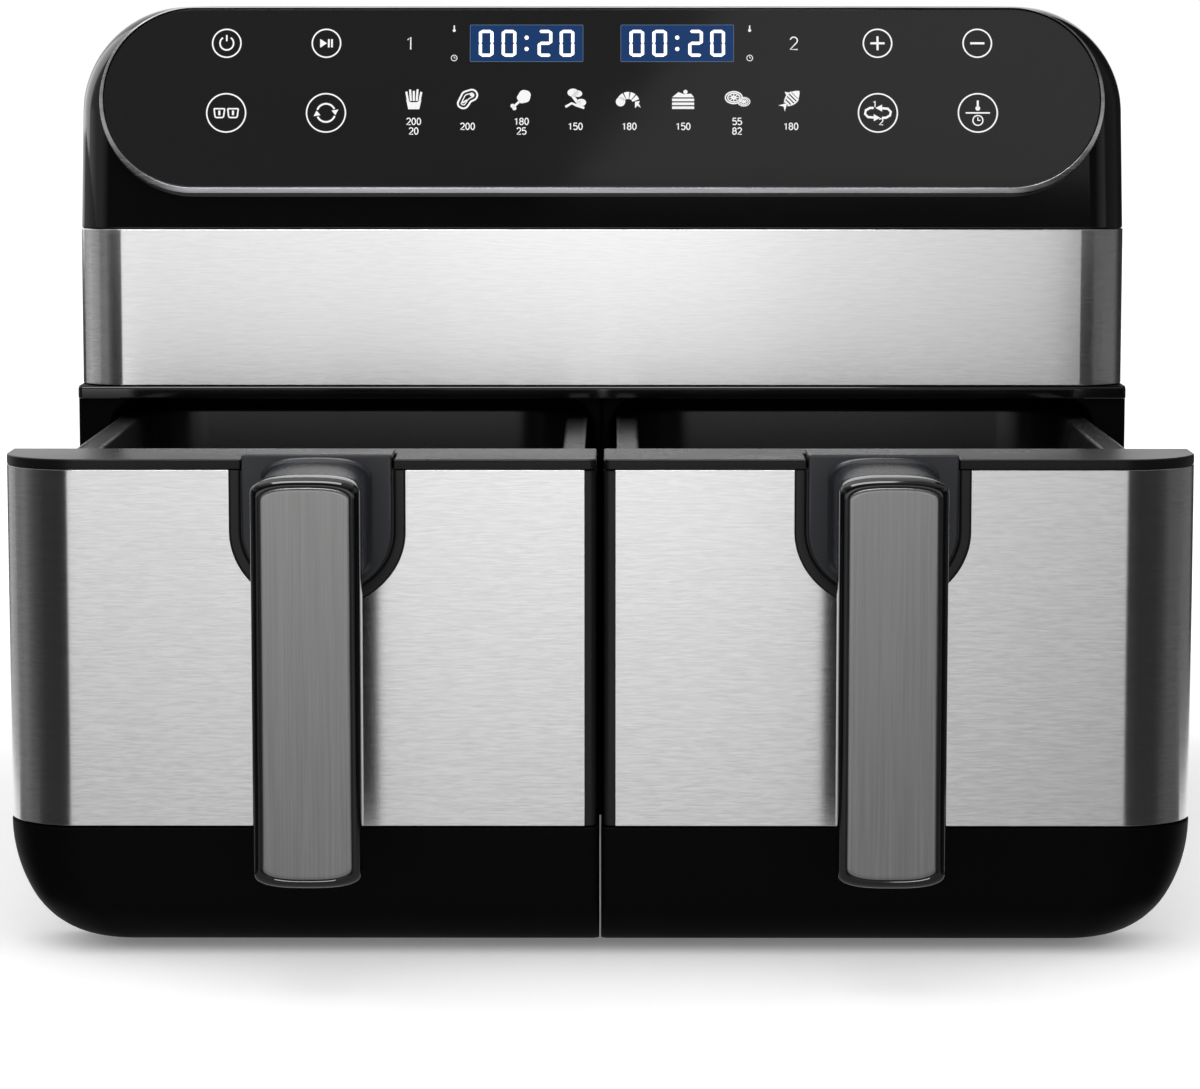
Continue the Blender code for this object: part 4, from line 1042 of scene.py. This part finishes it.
skinLow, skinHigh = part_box("right_drawer_skin")
rimLow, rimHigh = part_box("right_drawer_rim")
coreLow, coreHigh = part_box("right_drawer_core")
pedestalLow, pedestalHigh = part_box("right_drawer_lower_cover")
bezelLow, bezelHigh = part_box("right_handle_bezel")
basketLow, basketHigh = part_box("right_basket")
drawer = {
    "corner": 0.026, "innerCorner": 0.0024, "inner": rimLow.x, "outer": rimHigh.x,
    "front": rimLow.y, "back": rimHigh.y, "sheet": 0.0005, "wall": 0.0025,
    "lowInner": 0.0003, "lowWide": 0.034, "lowTall": 0.0408, "lowEdge": 0.016,
    "handleX": (bezelLow.x + bezelHigh.x) / 2, "cutHalf": 0.02935, "cutStraight": 0.1431,
    "cutCurve": 0.026, "plateInset": 0.0043, "plateFront": -0.2310, "capBack": bezelHigh.y,
    "capTop": bezelHigh.z,
}
grip = {
    "half": 0.0175, "bottom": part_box("right_handle_grip")[0].z, "top": 0.1665, "front": -0.2860,
    "rear": -0.2700, "arch": 0.0055, "power": 2 / 2.8, "neckBottom": 0.128, "neckArch": 0.0078,
    "pocket": 0.00275, "insert": 0.0030,
}


# cut-out round the handle: straight sides above, half an ellipse below
def cutTop(x):
    across = np.clip((x - drawer["handleX"]) / drawer["cutHalf"], -1, 1)
    return drawer["cutStraight"] - drawer["cutCurve"] * np.sqrt(1 - across ** 2)


# steel skin: slim upright section carried round the front corner, its top following the cut-out
def drawerSkin():
    start, front, outer, back = skinLow.x, drawer["front"], drawer["outer"], skinHigh.y
    radius, slit, half = drawer["corner"], 0.00002, drawer["cutHalf"]
    left, right = drawer["handleX"] - half, drawer["handleX"] + half
    sweep = drawer["handleX"] - half * np.cos(np.linspace(0, math.pi, 61))
    flatX = np.concatenate([np.linspace(start, left, 8), sweep, np.linspace(right, outer - radius, 8)])
    flatX[7] -= slit
    flatX[-8] += slit
    turn = np.linspace(0, math.pi / 2, 33)[1:]
    bendX = outer - radius + radius * np.sin(turn)
    bendY = front + radius - radius * np.cos(turn)
    path = np.concatenate([np.stack([flatX, np.full(len(flatX), front)], 1),
                           np.stack([bendX, bendY], 1), [[outer, back]]])
    topZ = np.full(len(path), skinHigh.z)
    topZ[8:8 + len(sweep)] = cutTop(sweep)
    out = np.zeros_like(path)
    out[:len(flatX)] = (0, -1)
    out[len(flatX):-1] = np.stack([np.sin(turn), -np.cos(turn)], 1)
    out[-1] = (1, 0)
    section = sheetProfile(drawer["sheet"], -1.0, 1.0, 0.00018)
    rise = section[None, :, 1]
    height = np.where(rise > 0, topZ[:, None] + rise - 1, skinLow.z + rise + 1)
    spots = path[:, None, :] + out[:, None, :] * section[None, :, :1]
    return ringSkin(np.concatenate([spots, height[..., None]], 2))


# plan of a drawer front: small corner by the middle, large corner on the outer side
def frontShape(inner, outer, front, back, corner, steps=24):
    return shapeOf([(inner, back, 0.0004), (inner, front, drawer["innerCorner"]),
                    (outer, front, corner), (outer, back, 0.0004)], steps)


# moulding behind the skin: outside up and over, open below
def drawerCore():
    low, high = coreLow.z, coreHigh.z
    plan = frontShape(drawer["inner"], coreHigh.x, coreLow.y, coreHigh.y, drawer["corner"] - 0.0008,
                      14)
    wall, ease = drawer["wall"], 0.0004
    return ringSkin(ringsAt(plan, "xy", [(wall, high - wall), (wall, low), (ease, low),
                                         (0, low + ease), (0, high - ease), (ease, high)]))


# rim: plan of the front with a notch for the bezel's cap, pushed up with a soft top edge
def drawerRim():
    half = drawer["cutHalf"] - drawer["plateInset"] + air
    back, front, notch = drawer["back"], drawer["front"], drawer["capBack"] + air
    left, right = drawer["handleX"] - half, drawer["handleX"] + half
    corners = [(drawer["inner"], back, 0.0006), (drawer["inner"], front, drawer["innerCorner"]),
               (left, front, 0.0004), (left, notch, 0.0004), (right, notch, 0.0004),
               (right, front, 0.0004), (drawer["outer"], front, drawer["corner"]),
               (drawer["outer"], back, 0.0006)]
    return softPrism(shapeOf(corners, 16), "xy", rimLow.z, rimHigh.z, 0.0002, 0.0007)


# lower cover at height z: outer side on an ellipse, front edge on a circle
def lowRing(z, inset, steps=16):
    down = min((pedestalHigh.z - z) / drawer["lowTall"], 1.0)
    reach = drawer["lowWide"] * (1 - math.sqrt(max(1 - down ** 2, 0.0)))
    edge = drawer["lowEdge"]
    below = max(pedestalLow.z + edge - z, 0.0)
    front = drawer["front"] + edge - math.sqrt(max(edge ** 2 - below ** 2, 0.0))
    plan = frontShape(drawer["lowInner"], drawer["outer"] - reach, front, drawer["back"],
                      drawer["corner"] - 0.4 * reach, steps)
    return atHeight(plan(inset), "xy", z)


def lowerCover():
    top, bottom = pedestalHigh.z, pedestalLow.z
    angle = np.radians(np.concatenate([np.linspace(0, 70, 22), np.linspace(73, 90, 12)]))
    levels = top - (top - bottom) * np.sin(angle)
    wall, ease = drawer["wall"], 0.0008
    outer = [lowRing(z, 0.0) for z in levels[::-1] if z < top - ease]
    outer += [lowRing(top - ease * (1 - math.sin(a)), ease * (1 - math.cos(a)))
              for a in np.linspace(0, math.pi / 2, 5)]
    inner = [lowRing(z, wall) for z in [top] + [z for z in levels[1::3] if z > bottom + wall]]
    inner.append(lowRing(bottom + wall, wall + 0.004))
    return ringSkin(outer + inner)


# U-shaped outline of the cut-out, drawn in by inset, closed along a straight top
def uShape(inset, top, count=49):
    half, depth = drawer["cutHalf"] - inset, drawer["cutCurve"] - inset
    angle = math.pi + np.linspace(0, math.pi, count)
    lower = np.stack([drawer["handleX"] + half * np.cos(angle),
                      drawer["cutStraight"] + depth * np.sin(angle)], 1)
    upper = np.array([[drawer["handleX"] + half, top], [drawer["handleX"] - half, top]])
    return np.concatenate([upper, lower])


# surround: a U-shaped frame between the steel and the plate, rounded over and sunk towards the plate
def bezelSurround():
    rear, inset = drawer["front"] + drawer["sheet"], drawer["plateInset"]
    steps = [(air, rear), (air, rear - 0.0004), (air + 0.0002, rear - 0.0007),
             (air + 0.0005, rear - 0.0008), (inset - 0.0012, rear - 0.0008),
             (inset - 0.0006, rear - 0.0006), (inset - 0.0003, rear - 0.0002)]
    return ringSkin(ringsAt(lambda i: uShape(i, skinHigh.z), "xz", steps))


# plate that carries the neck, and its cap running back over the rim
def bezelPlate():
    inset, front, top = drawer["plateInset"] + 0.0002, drawer["plateFront"], drawer["capTop"]
    rear, half, x = drawer["front"] + drawer["sheet"], drawer["cutHalf"] - inset, drawer["handleX"]
    steps = [(inset, rear - 0.0004), (inset, front + 0.0007), (inset + 0.0003, front + 0.0002),
             (inset + 0.0009, front)]
    plate = ringSkin(ringsAt(lambda i: uShape(i, top - max(i - inset, 0)), "xz", steps))
    cap = softBox((x - half, front + 0.0006, skinHigh.z + air), (x + half, drawer["capBack"], top),
                  0.0004, 0.0006)
    return joined([plate, cap])


# upright bar outline whose ends are flat superellipse arches
def barShape(inset, bottom, top, arch, count=33):
    half, rise = grip["half"] - inset, arch - inset * 0.3
    angle = np.linspace(0, math.pi, count)
    u = np.sign(np.cos(angle)) * np.abs(np.cos(angle)) ** grip["power"]
    v = np.abs(np.sin(angle)) ** grip["power"]
    upper = np.stack([half * u, top - inset - rise + rise * v], 1)
    lower = np.stack([-half * u, bottom + inset + rise - rise * v], 1)
    return np.concatenate([upper, lower]) + np.array([drawer["handleX"], 0])


def gripShape(inset):
    return barShape(inset, grip["bottom"], grip["top"], grip["arch"])


# bar: rings from the rounded back to the front edge, and down into the insert's pocket
def gripBar():
    front, rear, pocket = grip["front"], grip["rear"], grip["pocket"]
    back = [(0.0026, rear), (0.0012, rear - 0.0005), (0.0004, rear - 0.0014), (0.0, rear - 0.0030)]
    fore = [(0.0, front + 0.0030), (0.00025, front + 0.0018), (0.0008, front + 0.0008),
            (0.0015, front + 0.0002), (0.0021, front), (pocket - 0.0002, front),
            (pocket, front + 0.0002), (pocket, front + 0.0010)]
    return ringSkin(ringsAt(gripShape, "xz", back + fore))


# neck: arched section, flared by a small fillet where it meets the plate
def gripNeck():
    start, end = drawer["plateFront"] - air, grip["rear"] - 0.0030
    foot, run = start - 0.0034, np.linspace(0, 1, 10)[1:]
    steps = [(-0.0010, start), (-0.0003, start - 0.0006), (0.0002, start - 0.0018), (0.0004, foot)]
    steps += [(0.0004 + 0.0005 * t, foot + (end - foot) * t) for t in run]
    top = grip["top"] + 0.0004
    return ringSkin(ringsAt(lambda inset: barShape(inset, grip["neckBottom"], top, grip["neckArch"]),
                            "xz", steps))


# insert: a plate in the pocket, its front edge on a small round
def gripInsert():
    edge, base, front = grip["insert"], grip["front"] + 0.0007, grip["front"] - 0.0001
    steps = [(edge, base), (edge, front + 0.0006), (edge + 0.00012, front + 0.00037),
             (edge + 0.0004, front + 0.00016), (edge + 0.0008, front + 0.00004), (edge + 0.0013, front)]
    return ringSkin(ringsAt(gripShape, "xz", steps))


basket = {"corner": 0.026, "rimThick": 0.0020}


# basket's outline: rounded rectangle set in from the rim's outer edge
def basketShape(inset):
    low, high = basketLow, basketHigh
    return bend(block(low.x + inset, low.y + inset, high.x - inset, high.y - inset,
                      basket["corner"] - inset * 0.5), 10)


# tub: floor, curve and wall up the outside, over the rolled rim, and down the inside
def basketTub():
    top, floor, roll = basketHigh.z, basketLow.z, basketHigh.z - basket["rimThick"]
    outside = [(0.0220, floor), (0.0185, floor + 0.0004), (0.0160, floor + 0.0017),
               (0.0146, floor + 0.0038), (0.0138, floor + 0.0068), (0.0070, roll), (0.0004, roll),
               (0.0, roll + 0.0004), (0.0, top - 0.0007), (0.0002, top - 0.0002), (0.0007, top)]
    inside = [(0.0013, top - 0.0001), (0.0019, top - 0.0005), (0.0066, top - 0.0005),
              (0.0074, top - 0.0007), (0.0079, top - 0.0012), (0.0082, top - 0.0020),
              (0.0144, floor + 0.0083), (0.0152, floor + 0.0052), (0.0170, floor + 0.0026),
              (0.0196, floor + 0.0013), (0.0224, floor + 0.0010)]
    return ringSkin(ringsAt(basketShape, "xy", outside + inside))


tray = {"hole": 0.0030, "pitch": 0.0105, "corner": 0.016, "sides": 12, "lip": 0.0006, "margin": 0.012}


# one square cell of the tray with a round hole, set down at every hole: square and circle share
# one count of points
def trayCells(columns, rows, centre, low, high):
    angle = (np.arange(tray["sides"]) + 0.5) * math.tau / tray["sides"]
    ring = np.stack([np.cos(angle), np.sin(angle)], 1)
    pitch = tray["pitch"]
    square = ring / np.abs(ring).max(1)[:, None] * pitch / 2
    corner = np.abs(np.abs(square[:, 0]) - np.abs(square[:, 1])) < pitch * 0.25
    square[corner] = np.sign(square[corner]) * pitch / 2
    circle = ring * tray["hole"]
    verts, faces = ringSkin([atHeight(square, "xy", low), atHeight(square, "xy", high),
                             atHeight(circle, "xy", high), atHeight(circle, "xy", low)], loop=True)
    u = (np.arange(columns) - (columns - 1) / 2) * pitch + centre[0]
    v = (np.arange(rows) - (rows - 1) / 2) * pitch + centre[1]
    shifts = atHeight(np.stack(np.meshgrid(u, v), -1).reshape(-1, 2), "xy", 0)
    places = (verts[None] + shifts[:, None]).reshape(-1, 3)
    faces = np.array(faces)[None] + (np.arange(len(shifts)) * len(verts))[:, None, None]
    return places, faces.reshape(-1, 4).tolist()


# tray: the field of cells in a plain border with a soft edge, on four bumpers
def buildTray(word, side):
    low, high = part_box("right_crisper_tray")
    centre = ((low.x + high.x) / 2, (low.y + high.y) / 2)
    pitch, margin, lip = tray["pitch"], tray["margin"], tray["lip"]
    columns, rows = int((high.x - low.x - margin) / pitch), int((high.y - low.y - margin) / pitch)
    u, v = columns * pitch / 2, rows * pitch / 2
    cells = trayCells(columns, rows, centre, low.z, high.z)
    inner = shapeOf(block(centre[0] - u, centre[1] - v, centre[0] + u, centre[1] + v, 0.00003), 10)
    outer = shapeOf(block(low.x, low.y, high.x, high.y, tray["corner"]), 10)
    rings = [atHeight(inner(0), "xy", low.z)]
    rings += ringsAt(outer, "xy", [(lip, low.z), (0, low.z + lip), (0.0002, high.z - 0.0002),
                                   (0.0005, high.z)])
    rings.append(atHeight(inner(0), "xy", high.z))
    skin = joined([cells, ringSkin(rings, loop=True)])
    body = word + "_tray"
    makePiece(word + "CrisperTray", mirrored(skin, side), "nonstick",
              [word + "_crisper_tray"], body, 50)
    for end in ("front_inner", "front_outer", "rear_inner", "rear_outer"):
        node = word + "_bumper_" + end
        skin = softBox(*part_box(node), 0.0010, 0.0007)
        makePiece(word + "Bumper" + end.title().replace("_", ""), skin, "silicone",
                  [node], body)


drawerPieces = (
    ("DrawerSkin", drawerSkin, "steel", "drawer_skin", "brushed_steel", 50),
    ("DrawerCore", drawerCore, "moulding", "drawer_core", "matte_black", 38),
    ("DrawerRim", drawerRim, "rim", "drawer_rim", "satin_rim", 38),
    ("LowerCover", lowerCover, "matte", "drawer_lower_cover", "matte_black", 38),
    ("BezelSurround", bezelSurround, "surround", "handle_bezel", "bezel_navy", 38),
    ("BezelPlate", bezelPlate, "navy", "handle_bezel", "bezel_navy", 38),
    ("GripBar", gripBar, "gloss", "handle_grip", "gloss_black", 38),
    ("GripNeck", gripNeck, "navy", "handle_grip", "gloss_black", 38),
    ("GripInsert", gripInsert, "insertSteel", "handle_insert", "handle_steel", 38),
    ("Basket", basketTub, "nonstick", "basket", "nonstick", 38),
)


def buildDrawer(word, side):
    for label, draw, finish, node, slot, sharp in drawerPieces:
        makePiece(word + label, mirrored(draw(), side), finish, [word + "_" + node],
                  word + "_drawer", sharp)


# carried-over frame nodes: each takes one finish
def finishNodes():
    plain = {"control_board": "board", "power_board": "board", "motor_deck": "guard"}
    # the liners take the near-black liner finish, which is painted shade for the cavity
    works = {"liner": "liner", "heater": "heater", "heater_guard": "guard", "motor": "motor",
             "interlock_switch": "matte", "fan_shaft": "motor", "convection_fan": "fan",
             "interlock_plunger": "silicone"}
    for word in sides:
        plain.update({word + "_" + node: finish for node, finish in works.items()})
    for node, finish in plain.items():
        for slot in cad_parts[node].material_slots:
            slot.material = finishes[finish]


for build in (buildTopCover, buildSteelBand, buildBandLip, buildFrontFrame, buildLowerHousing,
              buildRear, buildScrews, buildFeet):
    build()
print("casing built")
buildPanel()
buildMarks()
print("panel built")
for word, side in sides.items():
    buildDrawer(word, side)
    buildTray(word, side)
print("drawers built")
finishNodes()


# floor, light and camera

studio = {
    "cameraPlace": (0.0045, -1.6134, 0.2983), "cameraDown": 6.573, "cameraTurn": 0.186,
    "lens": 126.07, "floorSize": 30.0, "floorShade": 0.95, "floorGlow": 0.16, "diffuseWorld": 1.10,
    "glossLow": 0.95, "glossDark": 0.035, "glossHigh": 0.55, "glossBack": 0.90, "glossSide": 0.42,
}


def placeSurface(name, corners, finish):
    mesh = bpy.data.meshes.new(name)
    mesh.from_pydata(corners, [], [list(range(len(corners)))])
    mesh.materials.append(finish)
    piece = bpy.data.objects.new(name, mesh)
    bpy.context.collection.objects.link(piece)
    return piece


# floor: a plain pale sheet at the height of the feet
def buildFloor():
    finish, tree, shader, place = startFinish("floorPaper", 0.9, 0.0, {
        "Specular IOR Level": 0.0, "Emission Color": (1, 1, 1, 1),
        "Emission Strength": studio["floorGlow"]})
    mould = useEffect(tree, mouldEffect, {"Vector": place, "Pebble": 40.0, "Low": 0.85, "High": 0.95})
    shade = studio["floorShade"]
    paper = blendColours(tree, mould["Height"], (shade - 0.01,) * 3, (shade, shade, shade))
    feed(tree, shader, {"Base Color": paper})
    size = studio["floorSize"]
    corners = [(-size, -size, 0), (size, -size, 0), (size, size, 0), (-size, size, 0)]
    placeSurface("studioFloor", corners, finish)


# surroundings: even white for floor and for plastic, and for gloss a bright foot and back wall,
# a dark stretch in front from 15 to 40 degrees up, and a soft ceiling
def buildWorld():
    world = bpy.data.worlds.new("studioWorld")
    bpy.context.scene.world = world
    world.use_nodes = True
    tree = world.node_tree
    tree.nodes.clear()
    ray = put(tree, "LightPath").outputs
    way = put(tree, "SeparateXYZ", {0: put(tree, "TexCoord").outputs["Generated"]}).outputs
    rise = put(tree, "ValToRGB", {0: way[2]})
    ramp = rise.color_ramp
    stops = ((0.0, studio["glossLow"]), (0.16, studio["glossLow"]), (0.30, studio["glossDark"]),
             (0.62, studio["glossDark"]), (0.85, studio["glossHigh"]))
    for k, (spot, shade) in enumerate(stops):
        stop = ramp.elements[k] if k < 2 else ramp.elements.new(spot)
        stop.position = spot
        stop.color = (shade, shade, shade, 1)
    back = put(tree, "MapRange", {"Value": way[1], "From Min": -0.05, "From Max": 0.25,
                                  "To Min": 0.0, "To Max": studio["glossBack"]})
    across = put(tree, "Math", {0: way[0]}, operation="ABSOLUTE")
    side = put(tree, "MapRange", {"Value": across.outputs[0], "From Min": 0.50, "From Max": 0.80,
                                  "To Min": 0.0, "To Max": studio["glossSide"]})
    walls = put(tree, "Math", {0: side.outputs[0], 1: back.outputs[0]}, operation="MAXIMUM")
    gloss = put(tree, "Math", {0: rise.outputs[0], 1: walls.outputs[0]}, operation="MAXIMUM")
    glossy, even, white = [put(tree, "Background", {"Color": (1, 1, 1, 1), "Strength": strength})
                           for strength in (gloss.outputs[0], studio["diffuseWorld"], 1.0)]
    bounced = put(tree, "MixShader", {0: ray["Is Glossy Ray"], 1: even.outputs[0],
                                      2: glossy.outputs[0]})
    seen = put(tree, "MixShader", {0: ray["Is Camera Ray"], 1: bounced.outputs[0],
                                   2: white.outputs[0]})
    put(tree, "OutputWorld", {0: seen.outputs[0]})


def upright(start, end, low=0.0, high=0.29):
    return [(*start, low), (*end, low), (*end, high), (*start, high)]


def level(places, height=0.0010):
    return [(*place, height) for place in places]


# studio cards, seen only in gloss: corners, brightness, and for some how the brightness runs
# along x and along y, as (place, factor) pairs
cards = {
    "flagLeft": (upright((-0.308, -0.58), (-0.42, -0.29)), 1.0, (),
                 ((-0.58, 0.025), (-0.48, 0.012), (-0.36, 0.018), (-0.29, 0.05))),
    "flagRight": (upright((0.245, -0.58), (0.42, -0.313)), 1.0, (),
                  ((-0.58, 0.025), (-0.48, 0.012), (-0.36, 0.018), (-0.313, 0.035))),
    "greyLeft": (upright((-0.42, -0.29), (-0.42, -0.087)), 1.0, (),
                 ((-0.29, 0.05), (-0.245, 0.09), (-0.19, 0.17), (-0.14, 0.16), (-0.087, 0.20))),
    "greyRight": (upright((0.42, -0.313), (0.42, -0.11)), 1.0, (),
                  ((-0.313, 0.035), (-0.25, 0.08), (-0.18, 0.09), (-0.11, 0.11))),
    "farLeft": (upright((-0.42, -0.087), (-0.42, 0.20)), 1.0, (),
                ((-0.087, 0.28), (0.05, 0.42), (0.20, 0.30))),
    "farRight": (upright((0.42, -0.11), (0.42, 0.60), 0.0, 0.9), 1.0, (),
                 ((-0.11, 0.12), (0.05, 0.14), (0.16, 0.03), (0.60, 0.02))),
    "endLeft": (upright((-0.42, 0.20), (-0.60, 1.20), 0.0, 0.215), 0.02),
    "whiteLeft": (upright((-0.42, 0.066), (-1.0, 1.30), 0.292, 0.90), 2.4),
    "footLeft": (level([(-0.196, -0.236), (-0.42, -0.29), (-0.308, -0.58)]), 0.018),
    "footRight": (level([(0.190, -0.236), (0.42, -0.313), (0.245, -0.58)]), 0.018),
    "footGreyLeft": (level([(-0.204, -0.200), (-0.42, -0.087), (-0.42, -0.29), (-0.198, -0.235)]),
                     0.13),
    "footGreyRight": (level([(0.204, -0.200), (0.42, -0.11), (0.42, -0.313), (0.198, -0.235)]), 0.08),
    "foreground": (level([(-1.5, -3.5), (1.5, -3.5), (1.5, -0.235), (-1.5, -0.235)], 0.0006), 1.0,
                   ((-0.45, 0.80), (-0.23, 0.86), (-0.06, 1.0), (0.05, 0.97), (0.22, 0.62),
                    (0.45, 0.40)),
                   ((-3.4, 1.35), (-2.4, 1.15), (-1.6, 0.66), (-0.93, 0.61), (-0.6, 0.52),
                    (-0.4, 0.46))),
    "lowFront": (upright((-1.3, -3.5), (1.3, -3.5), 0.0, 0.7), 2.1,
                 ((-0.6, 0.78), (-0.3, 0.88), (0.1, 1.0), (0.3, 0.78), (0.6, 0.60))),
    "overhead": (level([(-0.5, -1.0), (0.2, -1.0), (0.2, -0.3), (-0.5, -0.3)], 1.6), 10.5),
    "sheen": ([(-0.055, -2.7, 1.345), (0.9, -2.7, 1.345), (0.9, -2.7, 1.75), (0.262, -2.7, 1.75)],
              0.45),
}


# brightness along one axis: the pairs become the stops of a ramp
def runAlong(tree, value, pairs):
    first, last = pairs[0][0], pairs[-1][0]
    spread = put(tree, "MapRange", {"Value": value, "From Min": first, "From Max": last})
    ramp = put(tree, "ValToRGB", {0: spread.outputs[0]})
    stops = ramp.color_ramp.elements
    for k, (spot, shade) in enumerate(pairs):
        place = (spot - first) / (last - first)
        stop = stops[0] if k == 0 else stops[-1] if k == len(pairs) - 1 else stops.new(place)
        stop.position = place
        stop.color = (shade, shade, shade, 1)
    return ramp.outputs[0]


# plain light of a card, its power times the factors along x and y
def cardFinish(name, power, along=(), depth=()):
    finish = bpy.data.materials.new(name)
    finish.use_nodes = True
    tree = finish.node_tree
    tree.nodes.clear()
    place = put(tree, "SeparateXYZ", {0: put(tree, "TexCoord").outputs["Object"]}).outputs
    strength = put(tree, "Value").outputs[0]
    strength.default_value = power
    for pairs, axis in ((along, 0), (depth, 1)):
        if pairs:
            run = runAlong(tree, place[axis], pairs)
            strength = put(tree, "Math", {0: strength, 1: run}, operation="MULTIPLY").outputs[0]
    glow = put(tree, "Emission", {"Color": (1, 1, 1, 1), "Strength": strength})
    put(tree, "OutputMaterial", {0: glow.outputs[0]})
    return finish


def buildCards():
    for name, (corners, *values) in cards.items():
        card = placeSurface(name, corners, cardFinish(name, *values))
        card.visible_camera = False
        card.visible_diffuse = False
        card.visible_shadow = False
        card.visible_transmission = False


def addLight(name, place, target, size, power):
    data = bpy.data.lights.new(name, "AREA")
    data.shape = "RECTANGLE"
    data.size, data.size_y = size
    data.energy = power
    lamp = bpy.data.objects.new(name, data)
    lamp.location = place
    lamp.rotation_euler = (Vector(target) - Vector(place)).to_track_quat("-Z", "Y").to_euler()
    lamp.visible_camera = False
    bpy.context.collection.objects.link(lamp)


def buildLights():
    addLight("softOverhead", (-0.5, 0.2, 2.2), (0, 0, 0.1), (1.6, 1.6), 6)


def buildCamera():
    data = bpy.data.cameras.new("studioCamera")
    data.lens = studio["lens"]
    data.sensor_width = 36.0
    data.clip_start, data.clip_end = 0.05, 60.0
    camera = bpy.data.objects.new("studioCamera", data)
    camera.location = studio["cameraPlace"]
    camera.rotation_euler = (math.radians(90 - studio["cameraDown"]), 0,
                             math.radians(studio["cameraTurn"]))
    bpy.context.collection.objects.link(camera)
    bpy.context.scene.camera = camera


for build in (buildFloor, buildWorld, buildCards, buildLights, buildCamera):
    build()
bpy.context.scene.view_settings.view_transform = "Standard"
print("studio built")
